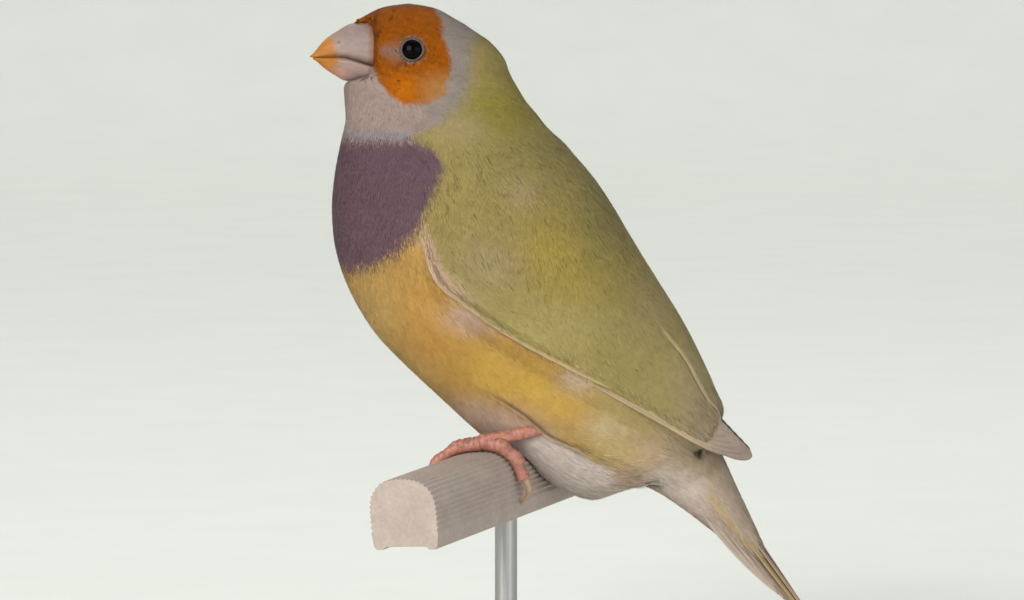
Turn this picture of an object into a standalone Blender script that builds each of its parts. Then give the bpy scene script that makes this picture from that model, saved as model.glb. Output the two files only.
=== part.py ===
"""Gouldian finch, life size, gripping a cut length of ribbed perch on a plain display stand.

The bird faces -X and +Z is up. Its plane of symmetry is Y = 0, and its left side is at -Y.
The origin lies under the rod, at the middle of the base's underside.
Lengths below are millimetres, and MM turns them into Blender's metres when a mesh is made.
"""

import math
import random

import bmesh
import bpy
from mathutils import Vector

MM = 0.001
GAP = 0.3
FIT_GAP = 0.35
SEED = 7

# Body stations from crown to tail: name, front or belly point (x, z), back point (x, z), half width
STATIONS = (
    ("crown", -17.5, 119.3, -17.1, 119.3, 0.0),
    ("brow", -21.9, 118.6, -12.3, 118.3, 3.6),
    ("forehead", -25.1, 117.1, -8.6, 116.1, 5.7),
    ("culmen", -27.2, 115.4, -5.5, 113.7, 6.9),
    ("nostril", -24.6, 113.4, -2.9, 111.9, 7.4),
    ("cheek", -24.4, 109.8, -0.4, 109.0, 7.9),
    ("gape", -24.7, 107.0, 0.7, 106.1, 8.1),
    ("chin", -28.6, 104.5, 2.0, 103.8, 8.2),
    ("throat", -28.8, 101.2, 3.4, 101.4, 8.8),
    ("neck", -28.6, 97.9, 5.2, 99.1, 10.2),
    ("collar", -29.5, 93.9, 7.3, 96.2, 12.4),
    ("shoulder", -30.6, 88.0, 10.9, 93.0, 14.6),
    ("breast", -31.1, 81.8, 14.3, 88.3, 15.9),
    ("keel", -30.4, 74.6, 16.8, 82.1, 16.5),
    ("upper belly", -27.9, 67.3, 19.6, 75.9, 16.5),
    ("belly", -23.4, 59.8, 22.9, 69.5, 16.1),
    ("lower belly", -17.5, 53.6, 25.9, 64.1, 15.3),
    ("flank", -11.2, 47.7, 28.4, 59.1, 14.2),
    ("legs", -5.0, 42.0, 30.7, 54.3, 13.0),
    ("loin", 1.1, 37.3, 32.9, 49.6, 11.6),
    ("vent", 7.5, 33.2, 35.4, 45.2, 10.2),
    ("fluff", 15.6, 29.3, 36.8, 42.1, 9.0),
    ("fluff end", 19.4, 31.0, 37.7, 40.4, 7.8),
    ("undertail", 21.9, 33.5, 38.2, 39.1, 6.6),
    ("tail root", 27.5, 31.1, 38.9, 37.5, 5.6),
    ("tail coverts", 34.6, 26.1, 41.2, 32.3, 4.6),
    ("covert tips", 41.1, 20.7, 44.3, 25.7, 3.2),
    ("covert end", 45.0, 16.1, 46.8, 20.0, 1.6),
)
INDEX = {row[0]: place for place, row in enumerate(STATIONS)}
NECK_CUT = INDEX["throat"] + 0.4
TORSO_CUT = INDEX["collar"] + 0.6
RUMP_CUT = INDEX["vent"] + 0.1
TAIL_CUT = float(INDEX["tail root"])
BODY_SIDES = 26
FACE_FIRST = INDEX["forehead"]
FACE_LAST = INDEX["throat"]
FACE_BLUNTNESS = 1.1

# Outline of the folded wings over the back: first station, and the back points from there on
WING_FIRST = INDEX["shoulder"]
WING_BACK = (
    (11.0, 93.1), (14.8, 88.9), (18.6, 83.3), (22.1, 77.4), (25.9, 71.2), (29.0, 66.3), (31.9, 61.5),
    (34.5, 56.4), (36.7, 51.7), (38.7, 47.3), (41.9, 43.9), (44.3, 41.5), (45.8, 39.0), (47.0, 36.4),
)
WING_SIDE_RISE = 2.5
WING_BELLY_RISE = 2.0
WING_ROOT_RISE = 1.1
WING_RISE_LEAD = 0.6
WING_RISE_RUN = 2.6

# Folded wing, in its own side-view axes: u runs from the wrist to the tip, v from the leading edge up
WRIST = (-14.2, 75.9)
WING_DIRECTION = (0.847, -0.531)
WING_LENGTH = 69.7
LEADING_EDGE = (
    (-3.0, 1.5), (0.5, -1.1), (3.6, -3.3), (6.0, -4.5), (21.0, -5.2), (37.0, -4.2), (51.0, -3.4),
    (63.0, -2.9), (69.7, -1.2),
)

VANE_THICKNESS = 0.6
VANE_EDGE_SHARE = 0.75
VANE_TIP_HALF_WIDTH = 0.35
TIP_CROWDING = 1.5
WING_CLEARANCE = 0.2
WING_PARTING = 0.75
PLATE_FRONT = -3.0
PLATE_REAR = 33.0
PLATE_CREST = 14.0
PLATE_HEIGHT = 24.0
PLATE_THICKNESS = 1.4
PLATE_DEPTH = 0.5
PLATE_FRONT_SINK = 1.3
PLATE_FRONT_RUN = 9.0
PLATE_FALL_FRONT = 0.055
PLATE_FALL_REAR = 0.012

# Feathers of the folded wing: how many, and how wide each is
PRIMARIES = 7
PRIMARY_WIDTH = 4.6
PRIMARY_STEP = 2.4
SECONDARIES = 5
SECONDARY_WIDTH = 5.4
TERTIALS = 3
TERTIAL_WIDTH = 7.0
TERTIAL_BOW = 2.3
# Tiers of coverts: how many, u of the roots, u of the tips, spread of v, and width of each
COVERT_TIERS = (
    (6, 17.0, 31.0, 18.6, 5.4),
    (6, 8.5, 20.5, 19.0, 5.6),
)

# Bill
BILL_TIP = (-34.9, 109.0)
BILL_BACK_X = -23.3
BILL_HALF_WIDTH = 4.2
BILL_TIP_HALF_WIDTH = 0.28
BILL_FLARE = 0.8
LOWER_BILL_SHARE = 0.94
BILL_LEAST_DEPTH = 0.25
BILL_SEAT_FRONT_X = -33.0
CULMEN = ((-34.9, 109.3), (-32.3, 112.1), (-30.8, 113.3), (-27.8, 115.0), (-23.3, 115.4))
MOUTH_LINE = ((-34.9, 109.0), (-31.5, 109.1), (-28.7, 109.1), (-26.5, 108.5), (-23.3, 107.6))
BILL_UNDERSIDE = ((-34.4, 108.7), (-32.1, 106.9), (-30.8, 106.0), (-28.9, 104.9), (-23.3, 104.4))
NOSTRIL = (-25.6, 113.0)
NOSTRIL_RADIUS = 0.45
NOSTRIL_SHARE = 0.81

# Eyes
EYE = (-16.6, 110.95)
EYE_RADIUS = 2.4
EYE_SHOWN_RADIUS = 1.75
LID_RADIUS = 2.32
LID_THICKNESS = 0.28

# Perch, a ribbed D-shaped bar turned away from the bird's left and sloping up a little
PERCH_TURN = math.radians(25.0)
PERCH_SLOPE = math.radians(4.0)
PERCH_ROLL = math.radians(3.0)
PERCH_HEIGHT_AT_ROD = 34.1
PERCH_HALF_WIDTH = 6.5
PERCH_HALF_HEIGHT = 6.25
PERCH_NEAR_END = -42.2
PERCH_FAR_END = 25.0
PERCH_RIBS = 30
RIB_DEPTH = 0.28
PERCH_RECESS = 0.5
FOOT_SPACING = 22.0

# Legs and toes
TARSUS_RADIUS = 1.12
KNUCKLE_RADIUS = 1.35
TOE_RADIUS = 1.08
SIDE_TOE = 1.0
HIND_TOE_RADIUS = 1.25
CLAW_RADIUS = 0.75
CLAW_TIP_RADIUS = 0.14
CLAW_ARCH = 1.1
CLAW_LIFT = 0.25
MIDDLE_CLAW = 4.6
SIDE_CLAW = 4.0
HIND_CLAW = 5.6
LEFT_HEEL = (11.8, -9.0, 44.6)
RIGHT_HEEL = (16.8, 9.0, 50.5)
LEFT_TARSUS_SHOWN = 13.0
RIGHT_TARSUS_SHOWN = 11.5
ANKLE_STUB = 4.6
ANKLE_LIFT = 1.25
ANKLE_SHIFT = 1.3

# Tail
TAIL_TIP = (58.6, 3.2)
TAIL_ROOT = (37.6, 33.4)
TAIL_PAIRS = 6
MIDDLE_RECTRIX_WIDTH = 3.6
RECTRIX_WIDTH = 4.4
RECTRIX_THICKNESS = 0.6
RECTRIX_LAYER = 0.36
RECTRIX_EDGE_SINK = 0.12
RECTRIX_POINT_SHARE = 0.45
SIDE_RECTRIX_SHARE = 0.83
RECTRIX_SHORTENING = 0.045

# Stand
BASE_LENGTH = 78.0
BASE_WIDTH = 58.0
BASE_THICKNESS = 5.0
BASE_CORNER = 8.0
BASE_EDGE = 0.8
ROD_RADIUS = 2.0
ROD_SIDES = 24

COLOURS = {
    "head": (0.40, 0.13, 0.01, 0.8),
    "neck": (0.38, 0.30, 0.28, 0.8),
    "torso": (0.40, 0.24, 0.07, 0.8),
    "rump": (0.42, 0.30, 0.20, 0.8),
    "tail": (0.38, 0.28, 0.20, 0.7),
    "wing": (0.28, 0.24, 0.07, 0.7),
    "bill": (0.46, 0.35, 0.30, 0.4),
    "eye": (0.01, 0.01, 0.012, 0.1),
    "leg": (0.46, 0.19, 0.14, 0.5),
    "perch": (0.37, 0.32, 0.26, 0.6),
    "rod": (0.60, 0.60, 0.60, 0.3),
    "base": (0.75, 0.73, 0.70, 0.5),
}


def clear_scene():
    for old in list(bpy.data.objects):
        bpy.data.objects.remove(old, do_unlink=True)


def material_for(name, kind):
    red, green, blue, rough = COLOURS[kind]
    material = bpy.data.materials.new(name)
    material.use_nodes = True
    shader = material.node_tree.nodes["Principled BSDF"]
    shader.inputs["Base Color"].default_value = (red, green, blue, 1.0)
    shader.inputs["Roughness"].default_value = rough
    shader.inputs["Metallic"].default_value = 1.0 if kind == "rod" else 0.0
    material.diffuse_color = (red, green, blue, 1.0)
    return material


def new_object(name, points, faces):
    """Make a closed mesh object, in triangles with outward faces, from points in millimetres."""
    mesh = bpy.data.meshes.new(name)
    mesh.from_pydata([tuple(MM * value for value in point) for point in points], [], faces)
    work = bmesh.new()
    work.from_mesh(mesh)
    bmesh.ops.triangulate(work, faces=work.faces)
    bmesh.ops.recalc_face_normals(work, faces=work.faces)
    work.to_mesh(mesh)
    work.free()
    thing = bpy.data.objects.new(name, mesh)
    bpy.context.scene.collection.objects.link(thing)
    return thing


def finish(thing, kind, smooth=True):
    thing.data.materials.clear()
    thing.data.materials.append(material_for(thing.name, kind))
    for face in thing.data.polygons:
        face.use_smooth = smooth
        face.material_index = 0
    return thing


def skin_rings(rings):
    """Faces for rings of equal count. A ring of one point closes its end, and others get a flat cap."""
    points = []
    starts = []
    for ring in rings:
        starts.append(len(points))
        points.extend(ring)
    faces = []
    for first, second, here, after in zip(rings, rings[1:], starts, starts[1:]):
        count = max(len(first), len(second))
        for side in range(count):
            nxt = (side + 1) % count
            if len(first) == 1:
                faces.append((here, after + side, after + nxt))
            elif len(second) == 1:
                faces.append((here + side, after, here + nxt))
            else:
                faces.append((here + side, after + side, after + nxt, here + nxt))
    for ring, start in ((rings[0], starts[0]), (rings[-1], starts[-1])):
        if len(ring) > 1:
            centre = sum((Vector(point) for point in ring), Vector()) / len(ring)
            points.append(tuple(centre))
            for side in range(len(ring)):
                faces.append((start + side, start + (side + 1) % len(ring), len(points) - 1))
    return points, faces


def apply_boolean(target, tools, operation, solver="EXACT"):
    """Join or cut with one Boolean on a collection, apply it, remove the tools, keep the largest piece."""
    group = bpy.data.collections.new("tools for " + target.name)
    bpy.context.scene.collection.children.link(group)
    for tool in tools:
        bpy.context.scene.collection.objects.unlink(tool)
        group.objects.link(tool)
    change = target.modifiers.new("join", "BOOLEAN")
    change.operation = operation
    change.solver = solver
    change.operand_type = "COLLECTION"
    change.collection = group
    bpy.context.view_layer.update()
    seen = target.evaluated_get(bpy.context.evaluated_depsgraph_get())
    mesh = bpy.data.meshes.new_from_object(seen)
    target.modifiers.clear()
    target.data = mesh
    for tool in tools:
        bpy.data.objects.remove(tool, do_unlink=True)
    bpy.data.collections.remove(group)
    keep_largest(target)
    return target


def keep_largest(thing):
    work = bmesh.new()
    work.from_mesh(thing.data)
    bmesh.ops.remove_doubles(work, verts=work.verts, dist=0.002 * MM)
    bmesh.ops.dissolve_degenerate(work, edges=work.edges, dist=0.002 * MM)
    bmesh.ops.triangulate(work, faces=work.faces)
    left = set(work.faces)
    pieces = []
    while left:
        stack = [left.pop()]
        piece = set(stack)
        while stack:
            for edge in stack.pop().edges:
                for face in edge.link_faces:
                    if face in left:
                        left.discard(face)
                        piece.add(face)
                        stack.append(face)
        pieces.append(piece)
    largest = max(pieces, key=lambda piece: sum(face.calc_area() for face in piece))
    scrap = [face for piece in pieces if piece is not largest for face in piece]
    if scrap:
        bmesh.ops.delete(work, geom=scrap, context="FACES")
    work.to_mesh(thing.data)
    work.free()


def spline(rows, place):
    """Catmull-Rom curve through the rows, read at a place counted in rows."""
    last = len(rows) - 1
    place = min(max(place, 0.0), float(last))
    low = min(int(place), last - 1)
    part = place - low
    a = rows[max(low - 1, 0)]
    b = rows[low]
    c = rows[low + 1]
    d = rows[min(low + 2, last)]
    out = []
    for p, q, r, s in zip(a, b, c, d):
        bend = (2 * p - 5 * q + 4 * r - s) * part
        twist = (3 * q - p - 3 * r + s) * part * part
        out.append(0.5 * (2 * q + (r - p + bend + twist) * part))
    return out


def curve_at(points, x):
    """Height of an outline, given as (x, z) points from left to right, at x."""
    if x <= points[0][0]:
        return points[0][1]
    for place, (left, right) in enumerate(zip(points, points[1:])):
        if x <= right[0]:
            part = (x - left[0]) / (right[0] - left[0])
            return spline([(z,) for _, z in points], place + part)[0]
    return points[-1][1]


def body_section(place, outer=False):
    """Middle, half depth vector and half width of the body, or of the outside of the folded wings."""
    front_x, front_z, back_x, back_z, width = spline([row[1:] for row in STATIONS], place)
    front = Vector((front_x, 0, front_z))
    back = Vector((back_x, 0, back_z))
    if outer:
        x, z = spline(WING_BACK, place - WING_FIRST)
        back = Vector((x, 0, z))
        rise = min(1.0, max(0.0, (place - WING_FIRST + WING_RISE_LEAD) / WING_RISE_RUN))
        front -= (back - front).normalized() * WING_BELLY_RISE * rise
        width += WING_ROOT_RISE + (WING_SIDE_RISE - WING_ROOT_RISE) * rise
    return (front + back) / 2, (back - front) / 2, max(width, 0.0)


def front_power(place):
    """Power of the section's front half: 2 is an ellipse, and more is blunter, as the face is."""
    part = (place - FACE_FIRST) / (FACE_LAST - FACE_FIRST)
    return 2.0 + FACE_BLUNTNESS * math.sin(math.pi * min(max(part, 0.0), 1.0)) ** 0.5


def around(place, angle):
    """Shares of half depth and half width at an angle from the back line."""
    c = math.cos(angle)
    s = math.sin(angle)
    if c >= 0:
        return c, s
    power = 2.0 / front_power(place)
    return -abs(c) ** power, math.copysign(abs(s) ** power, s)


def angle_of(place, share):
    """The angle that around() turns into this share of the half depth."""
    if share < 0:
        share = -abs(share) ** (front_power(place) / 2.0)
    return math.acos(min(max(share, -1.0), 1.0))


def body_point(place, angle, side=-1, outer=False):
    """Point and outward normal at an angle from the back line round to the belly line."""
    middle, half, width = body_section(place, outer)
    across = Vector((0, side, 0))
    deep, wide = around(place, angle)
    point = middle + half * deep + across * width * wide
    normal = half.normalized() * math.cos(angle) / max(half.length, 0.1)
    normal += across * math.sin(angle) / max(width, 0.1)
    return point, normal.normalized()


def body_ring(place, shift=0.0):
    """Closed ring of body points, moved along the body by shift millimetres."""
    ring = []
    middle, half, width = body_section(place)
    along = half.cross(Vector((0, -1, 0))).normalized() * shift
    for step in range(BODY_SIDES):
        angle = 2 * math.pi * step / BODY_SIDES
        deep, wide = around(place, angle)
        point = middle + half * deep + Vector((0, -width * wide, 0)) + along
        ring.append(tuple(point))
    return ring


def body_length(name, first, last, count):
    """One length of the body, with its cut ends drawn back by half the gap."""
    rings = []
    for step in range(count + 1):
        place = first + (last - first) * step / count
        if step == 0 and first == 0.0:
            middle = body_section(0.0)[0]
            rings.append([tuple(middle)])
        elif step == 0:
            rings.append(body_ring(place, GAP / 2))
        elif step == count:
            rings.append(body_ring(place, -GAP / 2))
        else:
            rings.append(body_ring(place))
    points, faces = skin_rings(rings)
    return new_object(name, points, faces)


def ball(name, centre, radius, segments=20, rings=12):
    work = bmesh.new()
    bmesh.ops.create_uvsphere(work, u_segments=segments, v_segments=rings, radius=radius * MM)
    bmesh.ops.translate(work, verts=work.verts, vec=Vector(centre) * MM)
    mesh = bpy.data.meshes.new(name)
    work.to_mesh(mesh)
    work.free()
    thing = bpy.data.objects.new(name, mesh)
    bpy.context.scene.collection.objects.link(thing)
    return thing


def tube(name, path, radii, sides=8):
    """Round tube through a path of points with a radius at each, closed flat at both ends."""
    rings = []
    up = Vector((0, 1, 0))
    path = [Vector(point) for point in path]
    for place, (point, radius) in enumerate(zip(path, radii)):
        ahead = path[min(place + 1, len(path) - 1)]
        behind = path[max(place - 1, 0)]
        along = (ahead - behind).normalized()
        across = along.cross(up).normalized()
        up = across.cross(along).normalized()
        ring = []
        for side in range(sides):
            angle = 2 * math.pi * side / sides
            ring.append(tuple(point + radius * (across * math.cos(angle) + up * math.sin(angle))))
        rings.append(ring)
    points, faces = skin_rings(rings)
    return new_object(name, points, faces)


def ring_tube(name, centre, normal, radius, thickness, segments=16, sides=5):
    """A torus for the rim of the eyelids."""
    normal = Vector(normal).normalized()
    across = normal.cross(Vector((0, 0, 1))).normalized()
    up = normal.cross(across)
    points = []
    for step in range(segments):
        turn = 2 * math.pi * step / segments
        out = across * math.cos(turn) + up * math.sin(turn)
        for side in range(sides):
            angle = 2 * math.pi * side / sides
            reach = radius + thickness * math.cos(angle)
            points.append(tuple(Vector(centre) + out * reach + normal * thickness * math.sin(angle)))
    faces = []
    for step in range(segments):
        nxt = (step + 1) % segments
        for side in range(sides):
            turn = (side + 1) % sides
            a = step * sides + side
            b = nxt * sides + side
            faces.append((a, b, nxt * sides + turn, step * sides + turn))
    return new_object(name, points, faces)


def bill_width(x):
    """Half width of the bill at x."""
    part = (min(x, BILL_BACK_X) - BILL_TIP[0]) / (BILL_BACK_X - BILL_TIP[0])
    return BILL_TIP_HALF_WIDTH + (BILL_HALF_WIDTH - BILL_TIP_HALF_WIDTH) * max(part, 0.0) ** BILL_FLARE


def bill_half(name, upper):
    """Upper or lower half of the bill, as sections across X that narrow to the tip."""
    rings = []
    steps = 8
    sides = 12
    edge = CULMEN if upper else BILL_UNDERSIDE
    tip_x = edge[0][0]
    for step in range(steps + 1):
        part = (step / steps) ** 1.3
        x = tip_x + (BILL_BACK_X - tip_x) * part
        seam = curve_at(MOUTH_LINE, x)
        rim = curve_at(edge, x)
        width = bill_width(x) * (1.0 if upper else LOWER_BILL_SHARE)
        seam += GAP / 2 if upper else -GAP / 2
        if abs(rim - seam) < BILL_LEAST_DEPTH or (rim > seam) != upper:
            rim = seam + (BILL_LEAST_DEPTH if upper else -BILL_LEAST_DEPTH)
        ring = []
        for side in range(sides + 1):
            angle = math.pi * side / sides
            lift = (rim - seam) * math.sin(angle) ** 0.85
            ring.append((x, -width * math.cos(angle), seam + lift))
        rings.append(ring)
    points, faces = skin_rings(rings)
    return new_object(name, points, faces)


def bill_cutter():
    """The whole bill made larger all round by the gap, to cut its seat in the head."""
    rings = []
    steps = 6
    sides = 16
    for step in range(steps + 1):
        x = BILL_SEAT_FRONT_X + (BILL_BACK_X + GAP - BILL_SEAT_FRONT_X) * step / steps
        seam = curve_at(MOUTH_LINE, x)
        top = curve_at(CULMEN, x) + GAP
        bottom = curve_at(BILL_UNDERSIDE, x) - GAP
        width = bill_width(x) + GAP
        ring = []
        for side in range(sides):
            angle = 2 * math.pi * side / sides
            rise = math.sin(angle)
            reach = (top - seam) if rise > 0 else (seam - bottom)
            lift = reach * math.copysign(abs(rise) ** 0.8, rise)
            ring.append((x, -width * math.cos(angle), seam + lift))
        rings.append(ring)
    points, faces = skin_rings(rings)
    return new_object("bill seat", points, faces)


def side_of_body(x, z, outer=False, start=0.0):
    """Station, and share of the half depth from the middle to the back, of a side-view point."""
    last = len(STATIONS) - 1.0
    step = 0.25

    def above(place):
        middle, half, _ = body_section(place, outer)
        rel = Vector((x, 0, z)) - middle
        return half.x * rel.z - half.z * rel.x

    place = start
    before = above(place)
    while place < last:
        after = above(place + step)
        if before < 0 <= after:
            low, high = place, place + step
            for _ in range(14):
                mid = (low + high) / 2
                if above(mid) < 0:
                    low = mid
                else:
                    high = mid
            middle, half, _ = body_section(low, outer)
            share = (Vector((x, 0, z)) - middle).dot(half) / half.length_squared
            return low, share
        before = after
        place += step
    middle, half, _ = body_section(last, outer)
    return last, (Vector((x, 0, z)) - middle).dot(half) / half.length_squared


def wing_place(u, v):
    """Side-view x and z of a point given in the wing's own axes."""
    x = WRIST[0] + WING_DIRECTION[0] * u - WING_DIRECTION[1] * v
    z = WRIST[1] + WING_DIRECTION[1] * u + WING_DIRECTION[0] * v
    return x, z


def leading_edge(u):
    return curve_at(LEADING_EDGE, u)


def wing_point(u, v, depth, thickness, side):
    """Outer and inner point of the wing at u, v: depth below its outside, and held clear of the body."""
    x, z = wing_place(u, v)
    place, share = side_of_body(x, z, True, WING_FIRST - 2.0)
    share = min(max(share, -0.97), 0.997)
    point, normal = body_point(place, math.acos(share), side, True)
    top = point - normal * depth
    bottom = top - normal * thickness
    inner_place, inner_share = side_of_body(bottom.x, bottom.z, False, WING_FIRST - 2.0)
    middle, half, width = body_section(inner_place)
    reach = math.hypot(inner_share, bottom.y / width)
    clear = 1.0 + (FIT_GAP + WING_CLEARANCE) / min(width, half.length)
    if reach < clear:
        push = (bottom - middle) * (clear / reach - 1.0)
        top += push
        bottom += push
    if bottom.y * side < WING_PARTING:
        shift = side * WING_PARTING - bottom.y
        bottom.y += shift
        top.y += shift
    return top, bottom


def vane(root, tip, width, depths, side, bow=0.0, tilt=0.2, steps=5, point_share=0.55):
    """One feather of the folded wing: a closed blade whose upper edge dips under the next feather."""
    root = Vector(root)
    tip = Vector(tip)
    line = tip - root
    across = Vector((-line.y, line.x)).normalized()
    rings = []
    for step in range(steps + 1):
        part = 1 - (1 - step / steps) ** TIP_CROWDING
        spread = width / 2 * (0.75 + 0.25 * min(1.0, part / 0.3))
        if part > point_share:
            fade = (part - point_share) / (1 - point_share)
            spread *= math.sqrt(max(1 - fade ** 2, 0.0)) * (1 - 0.12 * fade)
        spread = max(spread, VANE_TIP_HALF_WIDTH)
        middle = root + line * part + across * bow * 4 * part * (1 - part)
        depth = depths[0] + (depths[1] - depths[0]) * min(1.0, part / 0.45)
        tops = []
        bottoms = []
        for share in (-1, 0, 1):
            spot = middle + across * spread * share
            thin = VANE_THICKNESS * (1.0 if share == 0 else VANE_EDGE_SHARE)
            top, bottom = wing_point(spot.x, spot.y, depth + tilt * share, thin, side)
            tops.append(tuple(top))
            bottoms.append(tuple(bottom))
        rings.append(tops + bottoms[::-1])
    points = [point for ring in rings for point in ring]
    faces = blade_faces(len(rings))
    return new_object("vane", points, faces)


def blade_faces(count):
    """Triangles of a blade of six-point sections, split alike on both faces."""
    faces = []
    for step in range(count - 1):
        here = step * 6
        after = here + 6
        for side in range(6):
            nxt = (side + 1) % 6
            if side in (0, 1, 5):
                faces.append((here + side, after + side, here + nxt))
                faces.append((here + nxt, after + side, after + nxt))
            else:
                faces.append((here + side, after + side, after + nxt))
                faces.append((here + side, after + nxt, here + nxt))
    end = (count - 1) * 6
    for base in (0, end):
        faces.append((base, base + 1, base + 4, base + 5))
        faces.append((base + 1, base + 2, base + 3, base + 4))
    return faces


def wing_plate(side):
    """The hand, arm and shoulder of the folded wing under its feathers, as one curved plate."""
    rows = 10
    columns = 7
    outer = []
    inner = []
    for row in range(rows + 1):
        part = row / rows
        u = PLATE_FRONT + (PLATE_REAR - PLATE_FRONT) * part
        low = leading_edge(u) + 0.3
        fall = PLATE_FALL_REAR if u > PLATE_CREST else PLATE_FALL_FRONT
        high = PLATE_HEIGHT - fall * (u - PLATE_CREST) ** 2
        for column in range(columns + 1):
            v = low + (high - low) * column / columns
            depth = PLATE_DEPTH + PLATE_FRONT_SINK * max(0.0, 1 - (u - PLATE_FRONT) / PLATE_FRONT_RUN)
            top, bottom = wing_point(u, v, depth, PLATE_THICKNESS, side)
            outer.append(tuple(top))
            inner.append(tuple(bottom))
    wide = columns + 1
    count = len(outer)
    faces = []
    for row in range(rows):
        for column in range(columns):
            a = row * wide + column
            b = a + wide
            faces.append((a, b, b + 1))
            faces.append((a, b + 1, a + 1))
            faces.append((count + a, count + b + 1, count + b))
            faces.append((count + a, count + a + 1, count + b + 1))
    rim = [column for column in range(columns)]
    rim += [row * wide + columns for row in range(rows)]
    rim += [rows * wide + column for column in range(columns, 0, -1)]
    rim += [row * wide for row in range(rows, 0, -1)]
    for here, after in zip(rim, rim[1:] + rim[:1]):
        faces.append((here, after, count + after))
        faces.append((here, count + after, count + here))
    return new_object("plate", outer + inner, faces)


def wing(name, side):
    """Folded wing: plate, primaries, secondaries, tertials and two tiers of coverts, fused."""
    chance = random.Random(SEED)
    feathers = []
    for number in range(PRIMARIES):
        tip = (WING_LENGTH - PRIMARY_STEP * number, -0.7 + 0.66 * number)
        root = (17.0 + 1.4 * number, leading_edge(20.0) + 2.5 + 0.9 * number)
        depths = (1.3, 1.3 - 0.14 * number)
        feathers.append(vane(root, tip, PRIMARY_WIDTH, depths, side, 0.1 * number, 0.22, 6, 0.8))
    for number in range(SECONDARIES):
        back = number / (SECONDARIES - 1)
        tip = (53.0 - 6.0 * back, 2.8 + 4.6 * back + chance.uniform(-0.2, 0.2))
        root = (19.0 + 0.5 * number, 2.2 + 2.7 * number)
        depths = (1.1, 0.62 - 0.06 * number)
        feathers.append(vane(root, tip, SECONDARY_WIDTH, depths, side, 0.4, 0.2))
    for number in range(TERTIALS):
        tip = (57.5 - 6.5 * number, 3.4 + 3.1 * number)
        root = (20.0 - 1.5 * number, 13.6 + 2.6 * number)
        depths = (0.9, 0.2 - 0.08 * number)
        feathers.append(vane(root, tip, TERTIAL_WIDTH, depths, side, TERTIAL_BOW, 0.15))
    for count, root_u, tip_u, span, width in COVERT_TIERS:
        for number in range(count):
            part = number / (count - 1)
            root = (root_u - 2.0 * part, leading_edge(root_u) + 2.5 + span * part)
            reach = tip_u - 2.0 * part + chance.uniform(-0.6, 0.6)
            tip = (reach, leading_edge(tip_u) + 2.5 + span * part * 0.97)
            feathers.append(vane(root, tip, width, (1.15, 0.2), side, 0.2, 0.22, 3))
    plate = wing_plate(side)
    plate.name = name
    return finish(apply_boolean(plate, feathers, "UNION"), "wing")


def tail_vane(root, tip, width, side, tilt, drop, narrow):
    """One tail feather: across is tilted down and out from the middle pair, as in a closed tail."""
    root = Vector(root)
    tip = Vector(tip)
    line = (tip - root).normalized()
    out = Vector((0, side, 0))
    up = line.cross(out).normalized()
    if up.z < 0:
        up = -up
    across = out * math.cos(tilt) - up * math.sin(tilt)
    over = out * math.sin(tilt) + up * math.cos(tilt)
    steps = 5
    rings = []
    for step in range(steps + 1):
        part = step / steps
        spread = width / 2 * (0.6 + 0.4 * min(1.0, part / 0.35))
        if part > RECTRIX_POINT_SHARE:
            fade = (part - RECTRIX_POINT_SHARE) / (1 - RECTRIX_POINT_SHARE)
            spread *= (1 - fade ** (1.7 * narrow)) ** 0.8
        spread = max(spread, VANE_TIP_HALF_WIDTH)
        middle = root + (tip - root) * part + over * -drop
        tops = []
        bottoms = []
        for share, sink in ((-1, RECTRIX_EDGE_SINK), (0, 0.0), (1, RECTRIX_EDGE_SINK)):
            thin = RECTRIX_THICKNESS * (1.0 if share == 0 else VANE_EDGE_SHARE)
            spot = middle + across * spread * share - over * sink
            tops.append(tuple(spot))
            bottoms.append(tuple(spot - over * thin))
        rings.append(tops + bottoms[::-1])
    return new_object("rectrix", [point for ring in rings for point in ring], blade_faces(len(rings)))


def tail(name):
    """Tail: core under the coverts, and six pairs of feathers with the middle pair longest."""
    core = body_length(name, TAIL_CUT, len(STATIONS) - 1.0, 8)
    feathers = []
    root_x, root_z = TAIL_ROOT
    tip_x, tip_z = TAIL_TIP
    for pair in range(TAIL_PAIRS):
        share = pair / (TAIL_PAIRS - 1)
        length = 1.0 if pair == 0 else SIDE_RECTRIX_SHARE - RECTRIX_SHORTENING * pair
        for side in (-1, 1):
            root = (root_x + 0.3 * pair, side * (0.5 + 0.35 * pair), root_z - 0.55 * pair)
            reach_x = root_x + (tip_x - root_x) * length - 1.3 * share
            reach_z = root_z + (tip_z - root_z) * length - 1.6 * share
            tip = (reach_x, side * (0.57 + 0.62 * pair), reach_z)
            narrow = 0.55 if pair == 0 else 1.0
            width = MIDDLE_RECTRIX_WIDTH if pair == 0 else RECTRIX_WIDTH
            tilt = math.radians(14 + 9 * pair)
            feathers.append(tail_vane(root, tip, width, side, tilt, RECTRIX_LAYER * pair, narrow))
    return finish(apply_boolean(core, feathers, "UNION"), "tail")


def perch_axes():
    """The perch's directions: across it, up from it and along it."""
    across = Vector((math.cos(PERCH_TURN), -math.sin(PERCH_TURN), 0))
    along = Vector((math.sin(PERCH_TURN), math.cos(PERCH_TURN), 0)) * math.cos(PERCH_SLOPE)
    along.z = math.sin(PERCH_SLOPE)
    up = across.cross(along).normalized()
    across_rolled = across * math.cos(PERCH_ROLL) + up * math.sin(PERCH_ROLL)
    return across_rolled, across_rolled.cross(along).normalized(), along


def perch_to_world(across_mm, up_mm, along_mm):
    across, up, along = perch_axes()
    middle = Vector((0, 0, PERCH_HEIGHT_AT_ROD))
    return middle + across * across_mm + up * up_mm + along * along_mm


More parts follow.
